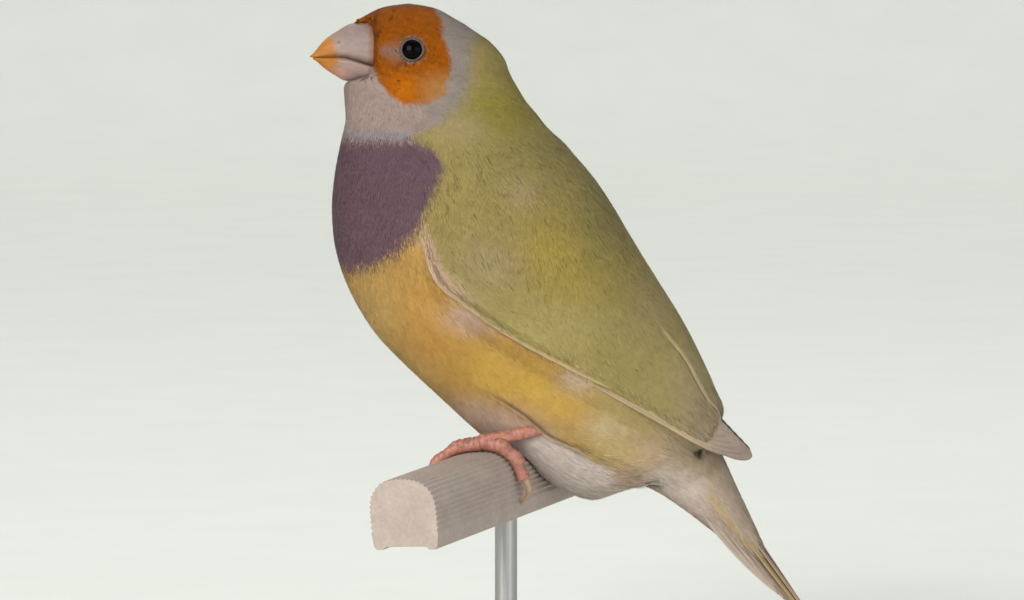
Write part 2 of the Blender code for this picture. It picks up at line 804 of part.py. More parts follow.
def perch_reach(angle):
    """Distance from the perch's axis to its surface, at an angle from the top."""
    side = abs(math.sin(angle)) / PERCH_HALF_WIDTH
    high = abs(math.cos(angle)) / PERCH_HALF_HEIGHT
    power = 2.5 if math.cos(angle) > 0 else 5.0
    return (side ** power + high ** power) ** (-1 / power)


def perch_section(grow=0.0):
    """Outline of the perch: arched top with ribs, straight sides and a shallow recess below."""
    outline = []
    arc = math.radians(118)
    if grow:
        for step in range(33):
            angle = -math.pi + 2 * math.pi * step / 33
            reach = perch_reach(angle) + grow
            outline.append((reach * math.sin(angle), reach * math.cos(angle)))
        return outline
    for rib in range(PERCH_RIBS * 2 + 1):
        angle = -arc + arc * rib / PERCH_RIBS
        reach = perch_reach(angle) - (RIB_DEPTH if rib % 2 else 0.0)
        outline.append((reach * math.sin(angle), reach * math.cos(angle)))
    low = -PERCH_HALF_HEIGHT
    foot = PERCH_HALF_WIDTH - 0.4
    outline += [(foot, low + 0.5), (foot - 0.5, low), (foot - 1.6, low), (foot - 2.2, low + PERCH_RECESS)]
    outline += [(2.2 - foot, low + PERCH_RECESS), (1.6 - foot, low), (0.5 - foot, low), (-foot, low + 0.5)]
    return outline


def perch(name, grow=0.0):
    rings = []
    for along_mm in (PERCH_NEAR_END - grow, PERCH_FAR_END + grow):
        rings.append([tuple(perch_to_world(x, y, along_mm)) for x, y in perch_section(grow)])
    points, faces = skin_rings(rings)
    return new_object(name, points, faces)


def toe(angles, alongs, radius, claw_length, grow=0.0):
    """Toe and claw wrapped over the perch, from one angle to another round its surface."""
    path = []
    radii = []
    steps = 8
    first, last = angles
    for step in range(steps + 1):
        part = step / steps
        angle = first + (last - first) * part
        size = radius * (1.12 - 0.3 * part + 0.1 * math.cos(6 * math.pi * part))
        reach = perch_reach(angle) + size + FIT_GAP
        along = alongs[0] + (alongs[1] - alongs[0]) * part
        path.append(perch_to_world(reach * math.sin(angle), reach * math.cos(angle), along))
        radii.append(size + grow)
    claw_steps = 5
    turn = math.copysign(claw_length / 8.0, last - first)
    for step in range(1, claw_steps + 1):
        part = step / claw_steps
        angle = last + turn * part
        size = CLAW_RADIUS + (CLAW_TIP_RADIUS - CLAW_RADIUS) * part
        arch = CLAW_ARCH * math.sin(math.pi * min(1.0, part * 1.15))
        reach = perch_reach(angle) + size + FIT_GAP + arch + CLAW_LIFT
        along = alongs[1] + (alongs[1] - alongs[0]) * 0.25 * part
        path.append(perch_to_world(reach * math.sin(angle), reach * math.cos(angle), along))
        radii.append(size + grow)
    return tube("toe", path, radii, 7)


def ankle_point(along_mm):
    lift = PERCH_HALF_HEIGHT + FIT_GAP + ANKLE_LIFT
    return perch_to_world(ANKLE_SHIFT, lift, along_mm)


def tarsus_length(name, along_mm, heel, first, last, grow=0.0):
    """Length of the lower leg between two distances from the ankle, thicker at both joints."""
    start = ankle_point(along_mm)
    line = (Vector(heel) - start).normalized()
    whole = (Vector(heel) - start).length
    steps = 6
    path = []
    radii = []
    for step in range(steps + 1):
        reach = first + (last - first) * step / steps
        path.append(start + line * reach)
        radii.append(TARSUS_RADIUS * (1.0 + 0.2 * abs(2 * reach / whole - 1) ** 3) + grow)
    return tube(name, path, radii, 10)


def foot(name, along_mm, side, heel, grow=0.0):
    """Three front toes over the perch and the hind toe round its other side, fused at the ankle."""
    knuckle = ball(name, ankle_point(along_mm), KNUCKLE_RADIUS + grow, 14, 8)
    inner = -side
    toes = [
        tarsus_length("stub", along_mm, heel, 0.0, ANKLE_STUB - GAP / 2 + grow, grow),
        toe((0.12, -1.68), (along_mm + 0.1, along_mm - 0.6 * inner), TOE_RADIUS, MIDDLE_CLAW, grow),
        toe((0.12, -1.25), (along_mm + 0.5 * inner, along_mm + 4.2 * inner), SIDE_TOE, SIDE_CLAW, grow),
        toe((0.12, -1.42), (along_mm - 0.5 * inner, along_mm - 5.4 * inner), SIDE_TOE, SIDE_CLAW, grow),
        toe((0.1, 1.45), (along_mm + 0.2, along_mm + 2.0), HIND_TOE_RADIUS, HIND_CLAW, grow),
    ]
    apply_boolean(knuckle, toes, "UNION")
    return knuckle


def eye_frame(side):
    """Middle of the eye opening on the head's surface, and the outward direction there."""
    place, share = side_of_body(EYE[0], EYE[1])
    return body_point(place, angle_of(place, share), side)


def head():
    """Head with its lids, open for the eyes and seated round the bill."""
    thing = body_length("head", 0.0, NECK_CUT, 16)
    lids = []
    sockets = []
    for side in (-1, 1):
        spot, normal = eye_frame(side)
        lids.append(ring_tube("lid", spot + normal * 0.02, normal, LID_RADIUS, LID_THICKNESS))
        sunk = math.sqrt(EYE_RADIUS ** 2 - EYE_SHOWN_RADIUS ** 2)
        sockets.append(ball("socket", spot - normal * sunk, EYE_RADIUS + GAP, 16, 10))
    apply_boolean(thing, lids, "UNION")
    apply_boolean(thing, sockets + [bill_cutter()], "DIFFERENCE")
    return finish(thing, "head")


def eyes():
    for side, word in ((-1, "left"), (1, "right")):
        spot, normal = eye_frame(side)
        sunk = math.sqrt(EYE_RADIUS ** 2 - EYE_SHOWN_RADIUS ** 2)
        finish(ball("eye_" + word, spot - normal * sunk, EYE_RADIUS, 18, 10), "eye")


def bill():
    upper = bill_half("bill_upper", True)
    pits = []
    for side in (-1, 1):
        x, z = NOSTRIL
        y = side * bill_width(x) * NOSTRIL_SHARE
        pits.append(ball("pit", (x, y, z), NOSTRIL_RADIUS, 10, 6))
    finish(apply_boolean(upper, pits, "DIFFERENCE"), "bill")
    finish(bill_half("bill_lower", False), "bill")


def legs():
    """Feet and tarsi, and the list of things that the body is cut clear of."""
    cutters = []
    rows = (
        ("left", -1, -FOOT_SPACING / 2, LEFT_HEEL, LEFT_TARSUS_SHOWN),
        ("right", 1, FOOT_SPACING / 2, RIGHT_HEEL, RIGHT_TARSUS_SHOWN),
    )
    for word, side, along_mm, heel, shown in rows:
        finish(foot("foot_" + word, along_mm, side, heel), "leg")
        first = ANKLE_STUB + GAP / 2
        finish(tarsus_length("leg_" + word, along_mm, heel, first, shown), "leg")
        cutters.append((foot, ("foot room", along_mm, side, heel, FIT_GAP)))
        room = ("leg room", along_mm, heel, 0.5, shown + FIT_GAP, FIT_GAP)
        cutters.append((tarsus_length, room))
    return cutters


def stand():
    """Plain rod and base."""
    across, up, along = perch_axes()
    under = perch_to_world(0, -PERCH_HALF_HEIGHT + PERCH_RECESS, 0)
    rings = []
    for level in (0, 1):
        ring = []
        for step in range(ROD_SIDES):
            angle = 2 * math.pi * step / ROD_SIDES
            x = ROD_RADIUS * math.cos(angle)
            y = ROD_RADIUS * math.sin(angle)
            rise = under.z - (up.x * (x - under.x) + up.y * (y - under.y)) / up.z
            z = rise - GAP if level else BASE_THICKNESS + GAP
            ring.append((x, y, z))
        rings.append(ring)
    points, faces = skin_rings(rings)
    finish(new_object("stand_rod", points, faces), "rod", False)
    rings = []
    for z, inset in ((0.0, BASE_EDGE), (BASE_EDGE, 0.0), (BASE_THICKNESS - BASE_EDGE, 0.0),
                     (BASE_THICKNESS, BASE_EDGE)):
        ring = []
        for corner in range(4):
            for step in range(5):
                angle = math.pi / 2 * (corner + step / 4)
                sx = 1 if corner in (0, 3) else -1
                sy = 1 if corner in (0, 1) else -1
                x = sx * (BASE_LENGTH / 2 - BASE_CORNER) + (BASE_CORNER - inset) * math.cos(angle)
                y = sy * (BASE_WIDTH / 2 - BASE_CORNER) + (BASE_CORNER - inset) * math.sin(angle)
                ring.append((x, y, z))
        rings.append(ring)
    points, faces = skin_rings(rings)
    finish(new_object("stand_base", points, faces), "base", False)


def body(cutters):
    """Neck, torso and rump, cut clear of the perch, feet and legs."""
    finish(body_length("neck", NECK_CUT, TORSO_CUT, 4), "neck")
    for name, first, last, count in (
        ("torso", TORSO_CUT, RUMP_CUT, 16),
        ("rump", RUMP_CUT, TAIL_CUT, 7),
    ):
        length = body_length(name, first, last, count)
        tools = [make(*sizes) for make, sizes in cutters]
        tools.append(perch("perch room", FIT_GAP))
        finish(apply_boolean(length, tools, "DIFFERENCE"), name)


def main():
    clear_scene()
    head()
    eyes()
    bill()
    cutters = legs()
    body(cutters)
    for side, word in ((-1, "left"), (1, "right")):
        wing("wing_" + word, side)
    tail("tail")
    finish(perch("perch"), "perch", False)
    stand()


main()
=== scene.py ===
"""Looks of a gouldian finch that grips a ribbed perch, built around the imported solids.

The bird faces -X, its left side is at -Y and +Z is up, as in the frame.
Shapes are worked out in millimetres, and MM turns them into metres when a mesh is made.
Places on the body are given by a station, counted down from the crown, and an angle from the back line.
"""

import math

import bpy
import numpy as np
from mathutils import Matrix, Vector


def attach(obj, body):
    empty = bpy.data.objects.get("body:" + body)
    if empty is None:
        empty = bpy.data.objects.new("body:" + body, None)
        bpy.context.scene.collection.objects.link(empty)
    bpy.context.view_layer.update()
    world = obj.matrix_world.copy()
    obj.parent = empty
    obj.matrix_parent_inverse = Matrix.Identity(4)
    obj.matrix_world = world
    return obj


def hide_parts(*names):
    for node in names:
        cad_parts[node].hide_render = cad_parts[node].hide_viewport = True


bl_info = {
    "name": "Gouldian Finch on a Perch",
    "version": (1, 0, 0),
    "blender": (4, 5, 0),
    "location": "3D View > Sidebar > Finch",
    "description": "Skin, plumage, bill, eyes, legs, perch and stand of a life-size gouldian finch",
    "category": "Object",
}

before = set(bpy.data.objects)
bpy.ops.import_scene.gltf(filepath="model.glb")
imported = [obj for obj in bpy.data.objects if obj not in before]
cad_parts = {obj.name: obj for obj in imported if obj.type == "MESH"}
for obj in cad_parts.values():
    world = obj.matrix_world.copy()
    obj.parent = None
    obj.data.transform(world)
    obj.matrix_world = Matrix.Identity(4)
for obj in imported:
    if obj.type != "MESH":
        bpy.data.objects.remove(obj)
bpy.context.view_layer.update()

MM = 0.001
SIDES = ((-1, "left"), (1, "right"))


def shade(red, green, blue):
    """Linear colour of an 8-bit display colour."""
    out = []
    for value in (red, green, blue):
        part = value / 255
        out.append(part / 12.92 if part <= 0.04045 else ((part + 0.055) / 1.055) ** 2.4)
    return tuple(out)


# Body stations from crown to tail: front or belly point (x, z), back point (x, z), half width
STATIONS = np.array((
    (-17.5, 119.3, -17.1, 119.3, 0.0),
    (-21.9, 118.6, -12.3, 118.3, 3.6),
    (-25.1, 117.1, -8.6, 116.1, 5.7),
    (-27.2, 115.4, -5.5, 113.7, 6.9),
    (-24.6, 113.4, -2.9, 111.9, 7.4),
    (-24.4, 109.8, -0.4, 109.0, 7.9),
    (-24.7, 107.0, 0.7, 106.1, 8.1),
    (-28.6, 104.5, 2.0, 103.8, 8.2),
    (-28.8, 101.2, 3.4, 101.4, 8.8),
    (-28.6, 97.9, 5.2, 99.1, 10.2),
    (-29.5, 93.9, 7.3, 96.2, 12.4),
    (-30.6, 88.0, 10.9, 93.0, 14.6),
    (-31.1, 81.8, 14.3, 88.3, 15.9),
    (-30.4, 74.6, 16.8, 82.1, 16.5),
    (-27.9, 67.3, 19.6, 75.9, 16.5),
    (-23.4, 59.8, 22.9, 69.5, 16.1),
    (-17.5, 53.6, 25.9, 64.1, 15.3),
    (-11.2, 47.7, 28.4, 59.1, 14.2),
    (-5.0, 42.0, 30.7, 54.3, 13.0),
    (1.1, 37.3, 32.9, 49.6, 11.6),
    (7.5, 33.2, 35.4, 45.2, 10.2),
    (15.6, 29.3, 36.8, 42.1, 9.0),
    (19.4, 31.0, 37.7, 40.4, 7.8),
    (21.9, 33.5, 38.2, 39.1, 6.6),
    (27.5, 31.1, 38.9, 37.5, 5.6),
    (34.6, 26.1, 41.2, 32.3, 4.6),
    (41.1, 20.7, 44.3, 25.7, 3.2),
    (45.0, 16.1, 46.8, 20.0, 1.6),
))
LAST = len(STATIONS) - 1

# Stations between which the face is blunt in front, and by how much
FACE_FIRST = 2.0
FACE_LAST = 8.0
FACE_BLUNTNESS = 1.1

# Small corrections of the stations against the photo: the crown is lower, the nape fuller, the vent softer
CROWN_DROP = 0.62
CROWN_FOOT = 111.0
NAPE_FILL = 0.45
NAPE_FILL_HEIGHT = 95.5
NAPE_FILL_REACH = 3.6
VENT_STATION = 21.8
VENT_SOFT_RUN = 1.6
VENT_SOFT_STEP = 1.2

# Outline of the folded wings over the back, from the shoulder station on
WING_FIRST = 11
WING_BACK = np.array((
    (11.0, 93.1), (14.8, 88.9), (18.6, 83.3), (22.1, 77.4), (25.9, 71.2), (29.0, 66.3), (31.9, 61.5),
    (34.5, 56.4), (36.7, 51.7), (38.7, 47.3), (41.9, 43.9), (44.3, 41.5), (45.8, 39.0), (47.0, 36.4),
))

# How far the folded wings stand out past the body, and the stations over which they rise
WING_SIDE_RISE = 2.5
WING_BELLY_RISE = 2.0
WING_ROOT_RISE = 1.1
WING_RISE_LEAD = 0.6
WING_RISE_RUN = 2.6

# Folded wing, in its own side-view axes: u runs from the wrist to the tip, v from the leading edge up
WRIST = (-14.2, 75.9)
WING_DIRECTION = (0.847, -0.531)
WING_LENGTH = 69.7
LEADING_EDGE = (
    (-3.0, 1.5), (0.5, -1.1), (3.6, -3.3), (6.0, -4.5), (21.0, -5.2), (37.0, -4.2), (51.0, -3.4),
    (63.0, -2.9), (69.7, -1.2),
)

# How far along the wing the small plumage reaches, at heights above the leading edge
COVERT_HEIGHTS = (0.2, 1.0, 2.3, 3.6)
COVERT_ENDS = (17.0, 31.0, 50.0, 57.5)
# How far along the wing the plumage, and the skin under the feathers, follow it
PLUMAGE_END = 60.0
SKIN_END = 22.0
# Share of the wing's rise that the flank's plumage takes up below the wing
FLANK_SWELL = 0.55

# Bill
BILL_TIP = (-34.9, 109.0)
BILL_BACK_X = -23.3
BILL_HALF_WIDTH = 4.2
BILL_TIP_HALF_WIDTH = 0.28
BILL_FLARE = 0.8
LOWER_BILL_SHARE = 0.94
NOSTRIL = (-29.7, 111.8)
NOSTRIL_FLATNESS = 1.4
BILL_ROUNDNESS = 0.85
BILL_LEAST_DEPTH = 0.2
MOUTH_GAP = 0.05
CULMEN = ((-34.9, 109.3), (-32.3, 112.1), (-30.8, 113.3), (-27.8, 115.0), (-23.3, 115.4))
MOUTH_LINE = ((-34.9, 109.0), (-31.5, 109.1), (-28.7, 109.1), (-26.5, 108.5), (-23.3, 107.6))
BILL_UNDERSIDE = ((-34.4, 108.7), (-32.1, 106.9), (-30.8, 106.0), (-28.9, 104.9), (-23.3, 104.4))

# Outline of the bill's base in the side view, beside which the face is narrowed
BILL_BASE = (
    (-38.0, 116.2), (-27.4, 115.3), (-25.2, 115.2), (-24.3, 114.5), (-24.1, 112.5), (-23.9, 110.9),
    (-23.8, 109.3), (-24.1, 107.9), (-24.4, 106.8), (-25.0, 106.0), (-28.9, 105.8), (-38.0, 105.6),
)
BILL_BROW_SLOPE = 2.6
BILL_CHIN_SLOPE = 0.8

# Eyes, with the middle of each as (x, z)
EYE = (-16.6, 110.65)
EYE_RADIUS = 2.4
EYE_SHOWN_RADIUS = 1.75
EYE_RING_RADIUS = 1.9
EYE_RING_HALF_WIDTH = 0.16
EYE_RING_HEIGHT = 0.18
EYE_RING_SINK = 0.12
EYE_RING_BEADS = 30
EYE_RING_BEAD = 0.035
EYE_RING_CORNER = 0.10

# Perch and feet
PERCH_TURN = math.radians(25.0)
PERCH_SLOPE = math.radians(4.0)
PERCH_ROLL = math.radians(3.0)
PERCH_HEIGHT_AT_ROD = 34.1
PERCH_HALF_WIDTH = 6.5
PERCH_HALF_HEIGHT = 6.25
PERCH_NEAR_END = -42.2
PERCH_FAR_END = 25.0
FOOT_SPACING = 22.0
FIT_GAP = 0.35
LEFT_HEEL = (11.8, -9.0, 44.6)
RIGHT_HEEL = (16.8, 9.0, 50.5)

# Tail
TAIL_TIP = (58.6, 3.2)
TAIL_ROOT = (37.6, 33.4)

# How the plumage lies in the side view: place (x, z) and direction (x, z)
LIE = np.array((
    (-27.0, 116.0, 0.80, 0.60), (-23.0, 118.0, 0.95, 0.30), (-16.0, 119.0, 1.00, -0.10),
    (-9.0, 116.5, 0.80, -0.60), (-1.0, 109.0, 0.45, -0.90), (4.0, 101.0, 0.50, -0.87),
    (-22.0, 111.0, 1.00, 0.05), (-16.0, 115.0, 1.00, -0.05), (-17.0, 107.0, 0.93, -0.35),
    (-10.0, 109.0, 0.80, -0.60), (-12.0, 104.0, 0.70, -0.71), (-27.0, 103.5, 0.45, -0.90),
    (-27.0, 98.0, 0.15, -1.00), (-18.0, 98.0, 0.40, -0.92), (-30.0, 84.0, 0.02, -1.00),
    (-17.0, 86.0, 0.20, -0.98), (-8.0, 92.0, 0.35, -0.94), (4.0, 94.0, 0.50, -0.87),
    (0.0, 82.0, 0.30, -0.95), (6.0, 74.0, 0.12, -1.00), (14.0, 84.0, 0.50, -0.87),
    (-25.0, 65.0, 0.35, -0.94), (-12.0, 56.0, 0.65, -0.76), (0.0, 50.0, 0.80, -0.60),
    (5.0, 42.0, 0.85, -0.52), (18.0, 36.0, 0.95, -0.32), (30.0, 33.0, 0.85, -0.55),
    (30.0, 50.0, 0.50, -0.87), (10.0, 62.0, 0.45, -0.90), (24.0, 60.0, 0.66, -0.75),
    (20.0, 72.0, 0.45, -0.90), (-10.0, 70.0, 0.62, -0.78), (0.0, 63.5, 0.80, -0.60),
    (42.0, 24.0, 0.55, -0.83),
))

# Outlines of the markings in the side view, as (x, z), and how much lower they lie on head and breast
MARK_DROP = 0.4
MASK_OUTLINE = (
    (-12.0, 122.0), (-12.6, 118.4), (-11.2, 115.8), (-11.0, 113.5), (-10.2, 110.9), (-9.6, 108.6),
    (-10.0, 105.9), (-10.6, 103.6), (-11.8, 102.3), (-14.5, 101.5), (-17.7, 101.2), (-20.4, 102.8),
    (-22.1, 105.0), (-23.3, 107.1), (-23.9, 108.6), (-34.0, 109.0), (-34.0, 122.0),
)
PALE_OUTLINE = (
    (-36.0, 122.0), (-5.0, 122.0), (-4.6, 113.6), (-6.0, 111.6), (-6.1, 109.1), (-6.3, 105.6),
    (-7.3, 102.4), (-9.3, 100.2), (-12.1, 97.8), (-15.0, 96.5), (-17.2, 95.2), (-36.0, 94.8),
)
BREAST_OUTLINE = (
    (-38.0, 94.9), (-28.6, 94.9), (-16.6, 95.2), (-12.9, 93.7), (-10.9, 90.8), (-12.1, 87.3),
    (-13.4, 83.9), (-14.6, 80.8), (-16.4, 77.8), (-19.8, 74.2), (-24.1, 71.8), (-28.1, 71.0),
    (-38.0, 71.0),
)

# Pale fluff under the vent, the yellow shaft on the side of the tail, and the flank feathers' lower edge
FLUFF_OUTLINE = (
    (-3.0, 39.5), (3.0, 43.4), (8.4, 41.5), (13.4, 39.3), (18.9, 35.7), (20.9, 32.3), (19.0, 26.0),
    (-3.0, 26.0),
)
SHAFT_LINE = ((35.3, 31.8), (39.8, 24.6), (44.8, 19.5), (49.4, 13.6), (54.0, 7.0))
FLAP_LINE = ((-4.0, 49.6), (2.3, 46.3), (7.8, 41.8), (13.4, 39.3), (20.0, 35.5), (24.0, 33.0))

# Soft patches of tone painted in order over the underparts: x, z, reach along x and z, strength
UNDER_PATCHES = (
    ("belly_orange", -12.5, 60.5, 9.0, 9.0, 0.9),
    ("belly_orange", -15.0, 66.0, 5.0, 5.0, 0.4),
    ("belly_pale", -24.0, 62.0, 6.0, 8.0, 0.8),
    ("belly_pale", -17.0, 52.0, 6.0, 4.0, 0.7),
    ("flank_yellow", -3.0, 54.0, 6.0, 4.5, 0.8),
    ("flank_yellow", 3.5, 51.5, 6.5, 4.2, 1.0),
    ("flank_yellow", 10.5, 47.3, 5.0, 2.8, 0.8),
    ("flank_rose", 12.5, 52.3, 3.0, 2.0, 0.9),
    ("flank_rose", -7.5, 63.8, 3.4, 2.2, 0.5),
    ("belly_lilac", -5.5, 63.3, 5.0, 2.4, 0.8),
    ("belly_lilac", -1.5, 44.0, 6.5, 3.4, 1.0),
    ("belly_lilac", -6.5, 46.5, 4.0, 2.6, 0.7),
    ("belly_lilac", 5.5, 41.5, 4.0, 2.4, 0.8),
    ("flank_cream", 22.0, 42.5, 9.0, 5.0, 0.9),
    ("vent", 17.0, 44.0, 3.2, 2.2, 0.25),
    ("belly_lilac", 21.5, 34.5, 4.5, 2.6, 0.7),
    ("belly_lilac", 27.5, 41.0, 5.5, 3.6, 0.65),
)
UPPER_PATCHES = (
    ("olive_dusky", 8.0, 93.0, 14.0, 6.0, 0.7),
    ("olive_dusky", 17.5, 80.0, 5.0, 9.0, 1.0),
    ("olive_green", -1.0, 100.0, 7.0, 5.0, 0.9),
    ("olive_grey", -8.0, 97.0, 5.0, 3.0, 0.8),
    ("olive_yellow", 7.0, 76.0, 6.0, 6.0, 0.8),
    ("olive_yellow", 12.0, 69.0, 7.0, 6.0, 0.7),
    ("olive_pale", 29.0, 54.0, 9.0, 9.0, 0.8),
    ("belly_lilac", 29.0, 40.5, 5.5, 3.6, 0.65),
    ("olive_grey", -3.0, 73.0, 6.0, 5.0, 0.9),
    ("olive_pale", 10.0, 62.0, 9.0, 5.0, 0.9),
    ("olive_rose", 3.0, 85.5, 3.0, 2.4, 0.6),
    ("olive_grey", 27.0, 66.0, 5.0, 6.0, 0.6),
    ("tertial_edge", 33.0, 52.0, 4.0, 6.0, 0.5),
)


# Colours as name, label, description and display value from 0 to 255
PALETTE = (
    ("mask", "Mask", "Orange of the face", (134, 69, 0)),
    ("mask_rear", "Rear cheek", "Paler orange at the back of the cheek", (152, 108, 58)),
    ("throat", "Throat", "Lilac white of chin and throat", (148, 130, 122)),
    ("nape", "Nape", "Grey lilac band behind the mask", (130, 120, 112)),
    ("collar", "Collar", "Faint blue band over the breast", (124, 124, 136)),
    ("breast", "Breast", "Purple of the breast", (96, 74, 82)),
    ("belly", "Belly", "Yellow orange of the underparts", (166, 132, 73)),
    ("belly_orange", "Belly orange", "Deepest orange of the belly", (178, 134, 66)),
    ("belly_pale", "Belly pale", "Paler front of the belly", (180, 150, 94)),
    ("flank_yellow", "Flank yellow", "Bright yellow of the flank", (186, 150, 70)),
    ("flank_rose", "Flank rose", "Rosy patch under the wing", (196, 174, 152)),
    ("flank_cream", "Flank cream", "Cream of the rear flank", (173, 151, 101)),
    ("belly_lilac", "Belly lilac", "Lilac white of the lower belly", (180, 154, 140)),
    ("vent", "Vent", "White of vent and under the tail", (198, 185, 176)),
    ("olive", "Olive", "Olive yellow of back and wing", (142, 127, 76)),
    ("olive_dusky", "Dusky olive", "Darker olive along the back line", (130, 120, 74)),
    ("olive_green", "Green olive", "Greener olive of the hind neck", (126, 116, 46)),
    ("olive_grey", "Grey olive", "Greyer olive of shoulder and wing", (152, 136, 98)),
    ("olive_yellow", "Yellow olive", "Yellower middle of the wing", (158, 138, 66)),
    ("olive_pale", "Pale olive", "Paler lower wing", (160, 146, 94)),
    ("olive_rose", "Rosy olive", "Rosy spot on the shoulder", (162, 140, 110)),
    ("wing_edge", "Wing edge", "Pale rosy leading edge of the wing", (176, 150, 126)),
    ("tertial_edge", "Tertial edge", "Pale edges of the inner wing feathers", (168, 150, 118)),
    ("quill", "Primaries", "Cream of the long wing feathers", (182, 162, 126)),
    ("quill_tip", "Wing tip", "Brown grey of the wing tip", (146, 130, 118)),
    ("tail", "Tail", "Beige of the tail feathers", (164, 146, 130)),
    ("bill", "Bill", "Pinkish white of the bill", (139, 118, 110)),
    ("bill_tip", "Bill tip", "Orange of the bill's tip", (156, 98, 26)),
    ("eye", "Eye", "Brown black of the eye", (4, 3, 3)),
    ("mask_bright", "Bright mask", "Clear orange of the cheek", (172, 96, 4)),
    ("shaft_yellow", "Yellow shaft", "Yellow along the outer tail feather", (172, 148, 96)),
    ("lore", "Lore", "Grey-lilac skin between bill and eye", (128, 104, 92)),
    ("eye_ring", "Eye ring", "Grey bare skin of the lids", (86, 74, 70)),
    ("leg", "Legs", "Pink of legs and toes", (166, 112, 94)),
    ("claw", "Claws", "Pale horn of the claws", (160, 132, 108)),
    ("perch", "Perch", "Grey beige of the perch", (167, 153, 143)),
    ("metal", "Rod", "Brushed metal of the rod", (172, 172, 170)),
    ("base", "Base", "Pale lacquer of the base", (222, 218, 210)),
)


class FinchSettings(bpy.types.PropertyGroup):
    """Sizes and colours of the plumage, bill, legs, perch and stand."""

    seed: bpy.props.IntProperty(
        name="Seed", description="Start of every random draw", default=11, min=0)
    coat_depth: bpy.props.FloatProperty(
        name="Coat depth", description="Depth of the plumage on the body", default=1.0 * MM,
        unit="LENGTH", subtype="DISTANCE")
    face_depth: bpy.props.FloatProperty(
        name="Face depth", description="Depth of the plumage on the face", default=0.45 * MM,
        unit="LENGTH", subtype="DISTANCE")
    density: bpy.props.FloatProperty(
        name="Density", description="Tufts to a square millimetre of the body", default=5.0, min=0.1)


def colour_value(label, description, tone):
    return bpy.props.FloatVectorProperty(
        name=label, description=description, subtype="COLOR", size=3, default=shade(*tone))


FinchSettings.__annotations__.update(
    {name: colour_value(label, description, tone) for name, label, description, tone in PALETTE})


def settings():
    return bpy.context.scene.finch_settings


def colour(name):
    return np.array(getattr(settings(), name)[:])


def filled(name, shape):
    """One colour of the palette over a whole grid of points."""
    return np.broadcast_to(colour(name), shape + (3,)).copy()


# Body surface

def spline(rows, place):
    """Catmull-Rom curve through the rows, read at places counted in rows."""
    last = len(rows) - 1
    place = np.clip(np.asarray(place, float), 0.0, last)
    low = np.minimum(place.astype(int), last - 1)
    part = (place - low)[..., None]
    a = rows[np.maximum(low - 1, 0)]
    b = rows[low]
    c = rows[low + 1]
    d = rows[np.minimum(low + 2, last)]
    bend = (2 * a - 5 * b + 4 * c - d) * part
    twist = (3 * b - a - 3 * c + d) * part ** 2
    return 0.5 * (2 * b + (c - a + bend + twist) * part)


def curve_at(points, x):
    """Height of an outline, given as (x, z) points from left to right, at the values x."""
    rows = np.array(points)
    place = np.interp(np.asarray(x, float), rows[:, 0], np.arange(len(rows)))
    return spline(rows[:, 1:], place)[..., 0]


def smooth(value):
    """Soft step from 0 to 1."""
    value = np.clip(value, 0.0, 1.0)
    return value * value * (3 - 2 * value)


def section(place, outer=False):
    """Middle and half depth in the side view, and half width, of the body or of the folded wings."""
    row = spline(STATIONS, place)
    front = row[..., 0:2]
    back = row[..., 2:4]
    width = row[..., 4]
    if outer:
        back = spline(WING_BACK, np.asarray(place) - WING_FIRST)
        rise = np.clip((np.asarray(place) - WING_FIRST + WING_RISE_LEAD) / WING_RISE_RUN, 0, 1)
        front = front - unit(back - front) * WING_BELLY_RISE * rise[..., None]
        width = width + WING_ROOT_RISE + (WING_SIDE_RISE - WING_ROOT_RISE) * rise
    return (front + back) / 2, (back - front) / 2, np.maximum(width, 0.0)


def front_power(place):
    """How blunt the front half of a section is: 1 for an ellipse, less on the face."""
    part = np.clip((place - FACE_FIRST) / (FACE_LAST - FACE_FIRST), 0.0, 1.0)
    return 2.0 / (2.0 + FACE_BLUNTNESS * np.sin(math.pi * part))


def body(place, angle, outer=False):
    """Points of the body's surface. The angle runs from the back line, with the bird's right positive."""
    place = np.asarray(place, float)
    angle = np.asarray(angle, float)
    angle = np.where(place < 0, angle + math.pi, angle)
    place = np.abs(place)
    c = np.cos(angle)
    s = np.sin(angle)
    middle, half, width = section(place, outer)
    if not outer:
        blend = np.minimum(s ** 2 + 0.25, 1) * np.exp(-((place - VENT_STATION) / VENT_SOFT_RUN) ** 2)
        for shift in (-VENT_SOFT_STEP, VENT_SOFT_STEP):
            near = section(place + shift, outer)
            middle = middle + (near[0] - middle) * (blend / 2)[..., None]
            half = half + (near[1] - half) * (blend / 2)[..., None]
            width = width + (near[2] - width) * blend / 2
    power = front_power(place)
    deep = np.where(c >= 0, c, -np.abs(c) ** power)
    wide = np.where(c >= 0, s, np.sign(s) * np.abs(s) ** power)
    x = middle[..., 0] + half[..., 0] * deep
    z = middle[..., 1] + half[..., 1] * deep
    y = width * wide
    if not outer:
        z = z - CROWN_DROP * smooth((z - CROWN_FOOT) / 6.0) * (1 - smooth((x + 11.0) / 7.0))
        nape = np.exp(-((z - NAPE_FILL_HEIGHT) / NAPE_FILL_REACH) ** 2)
        x = x + NAPE_FILL * nape * np.clip(c, 0, 1)
        y = beside_bill(x, y, z)
    return np.stack((x, y, z), axis=-1)


def bill_spread(x):
    """How much wider than its tip the bill is on each side, at places along it."""
    part = np.clip((x - BILL_TIP[0]) / (BILL_BACK_X - BILL_TIP[0]), 0, 1)
    return (BILL_HALF_WIDTH - BILL_TIP_HALF_WIDTH) * part ** BILL_FLARE


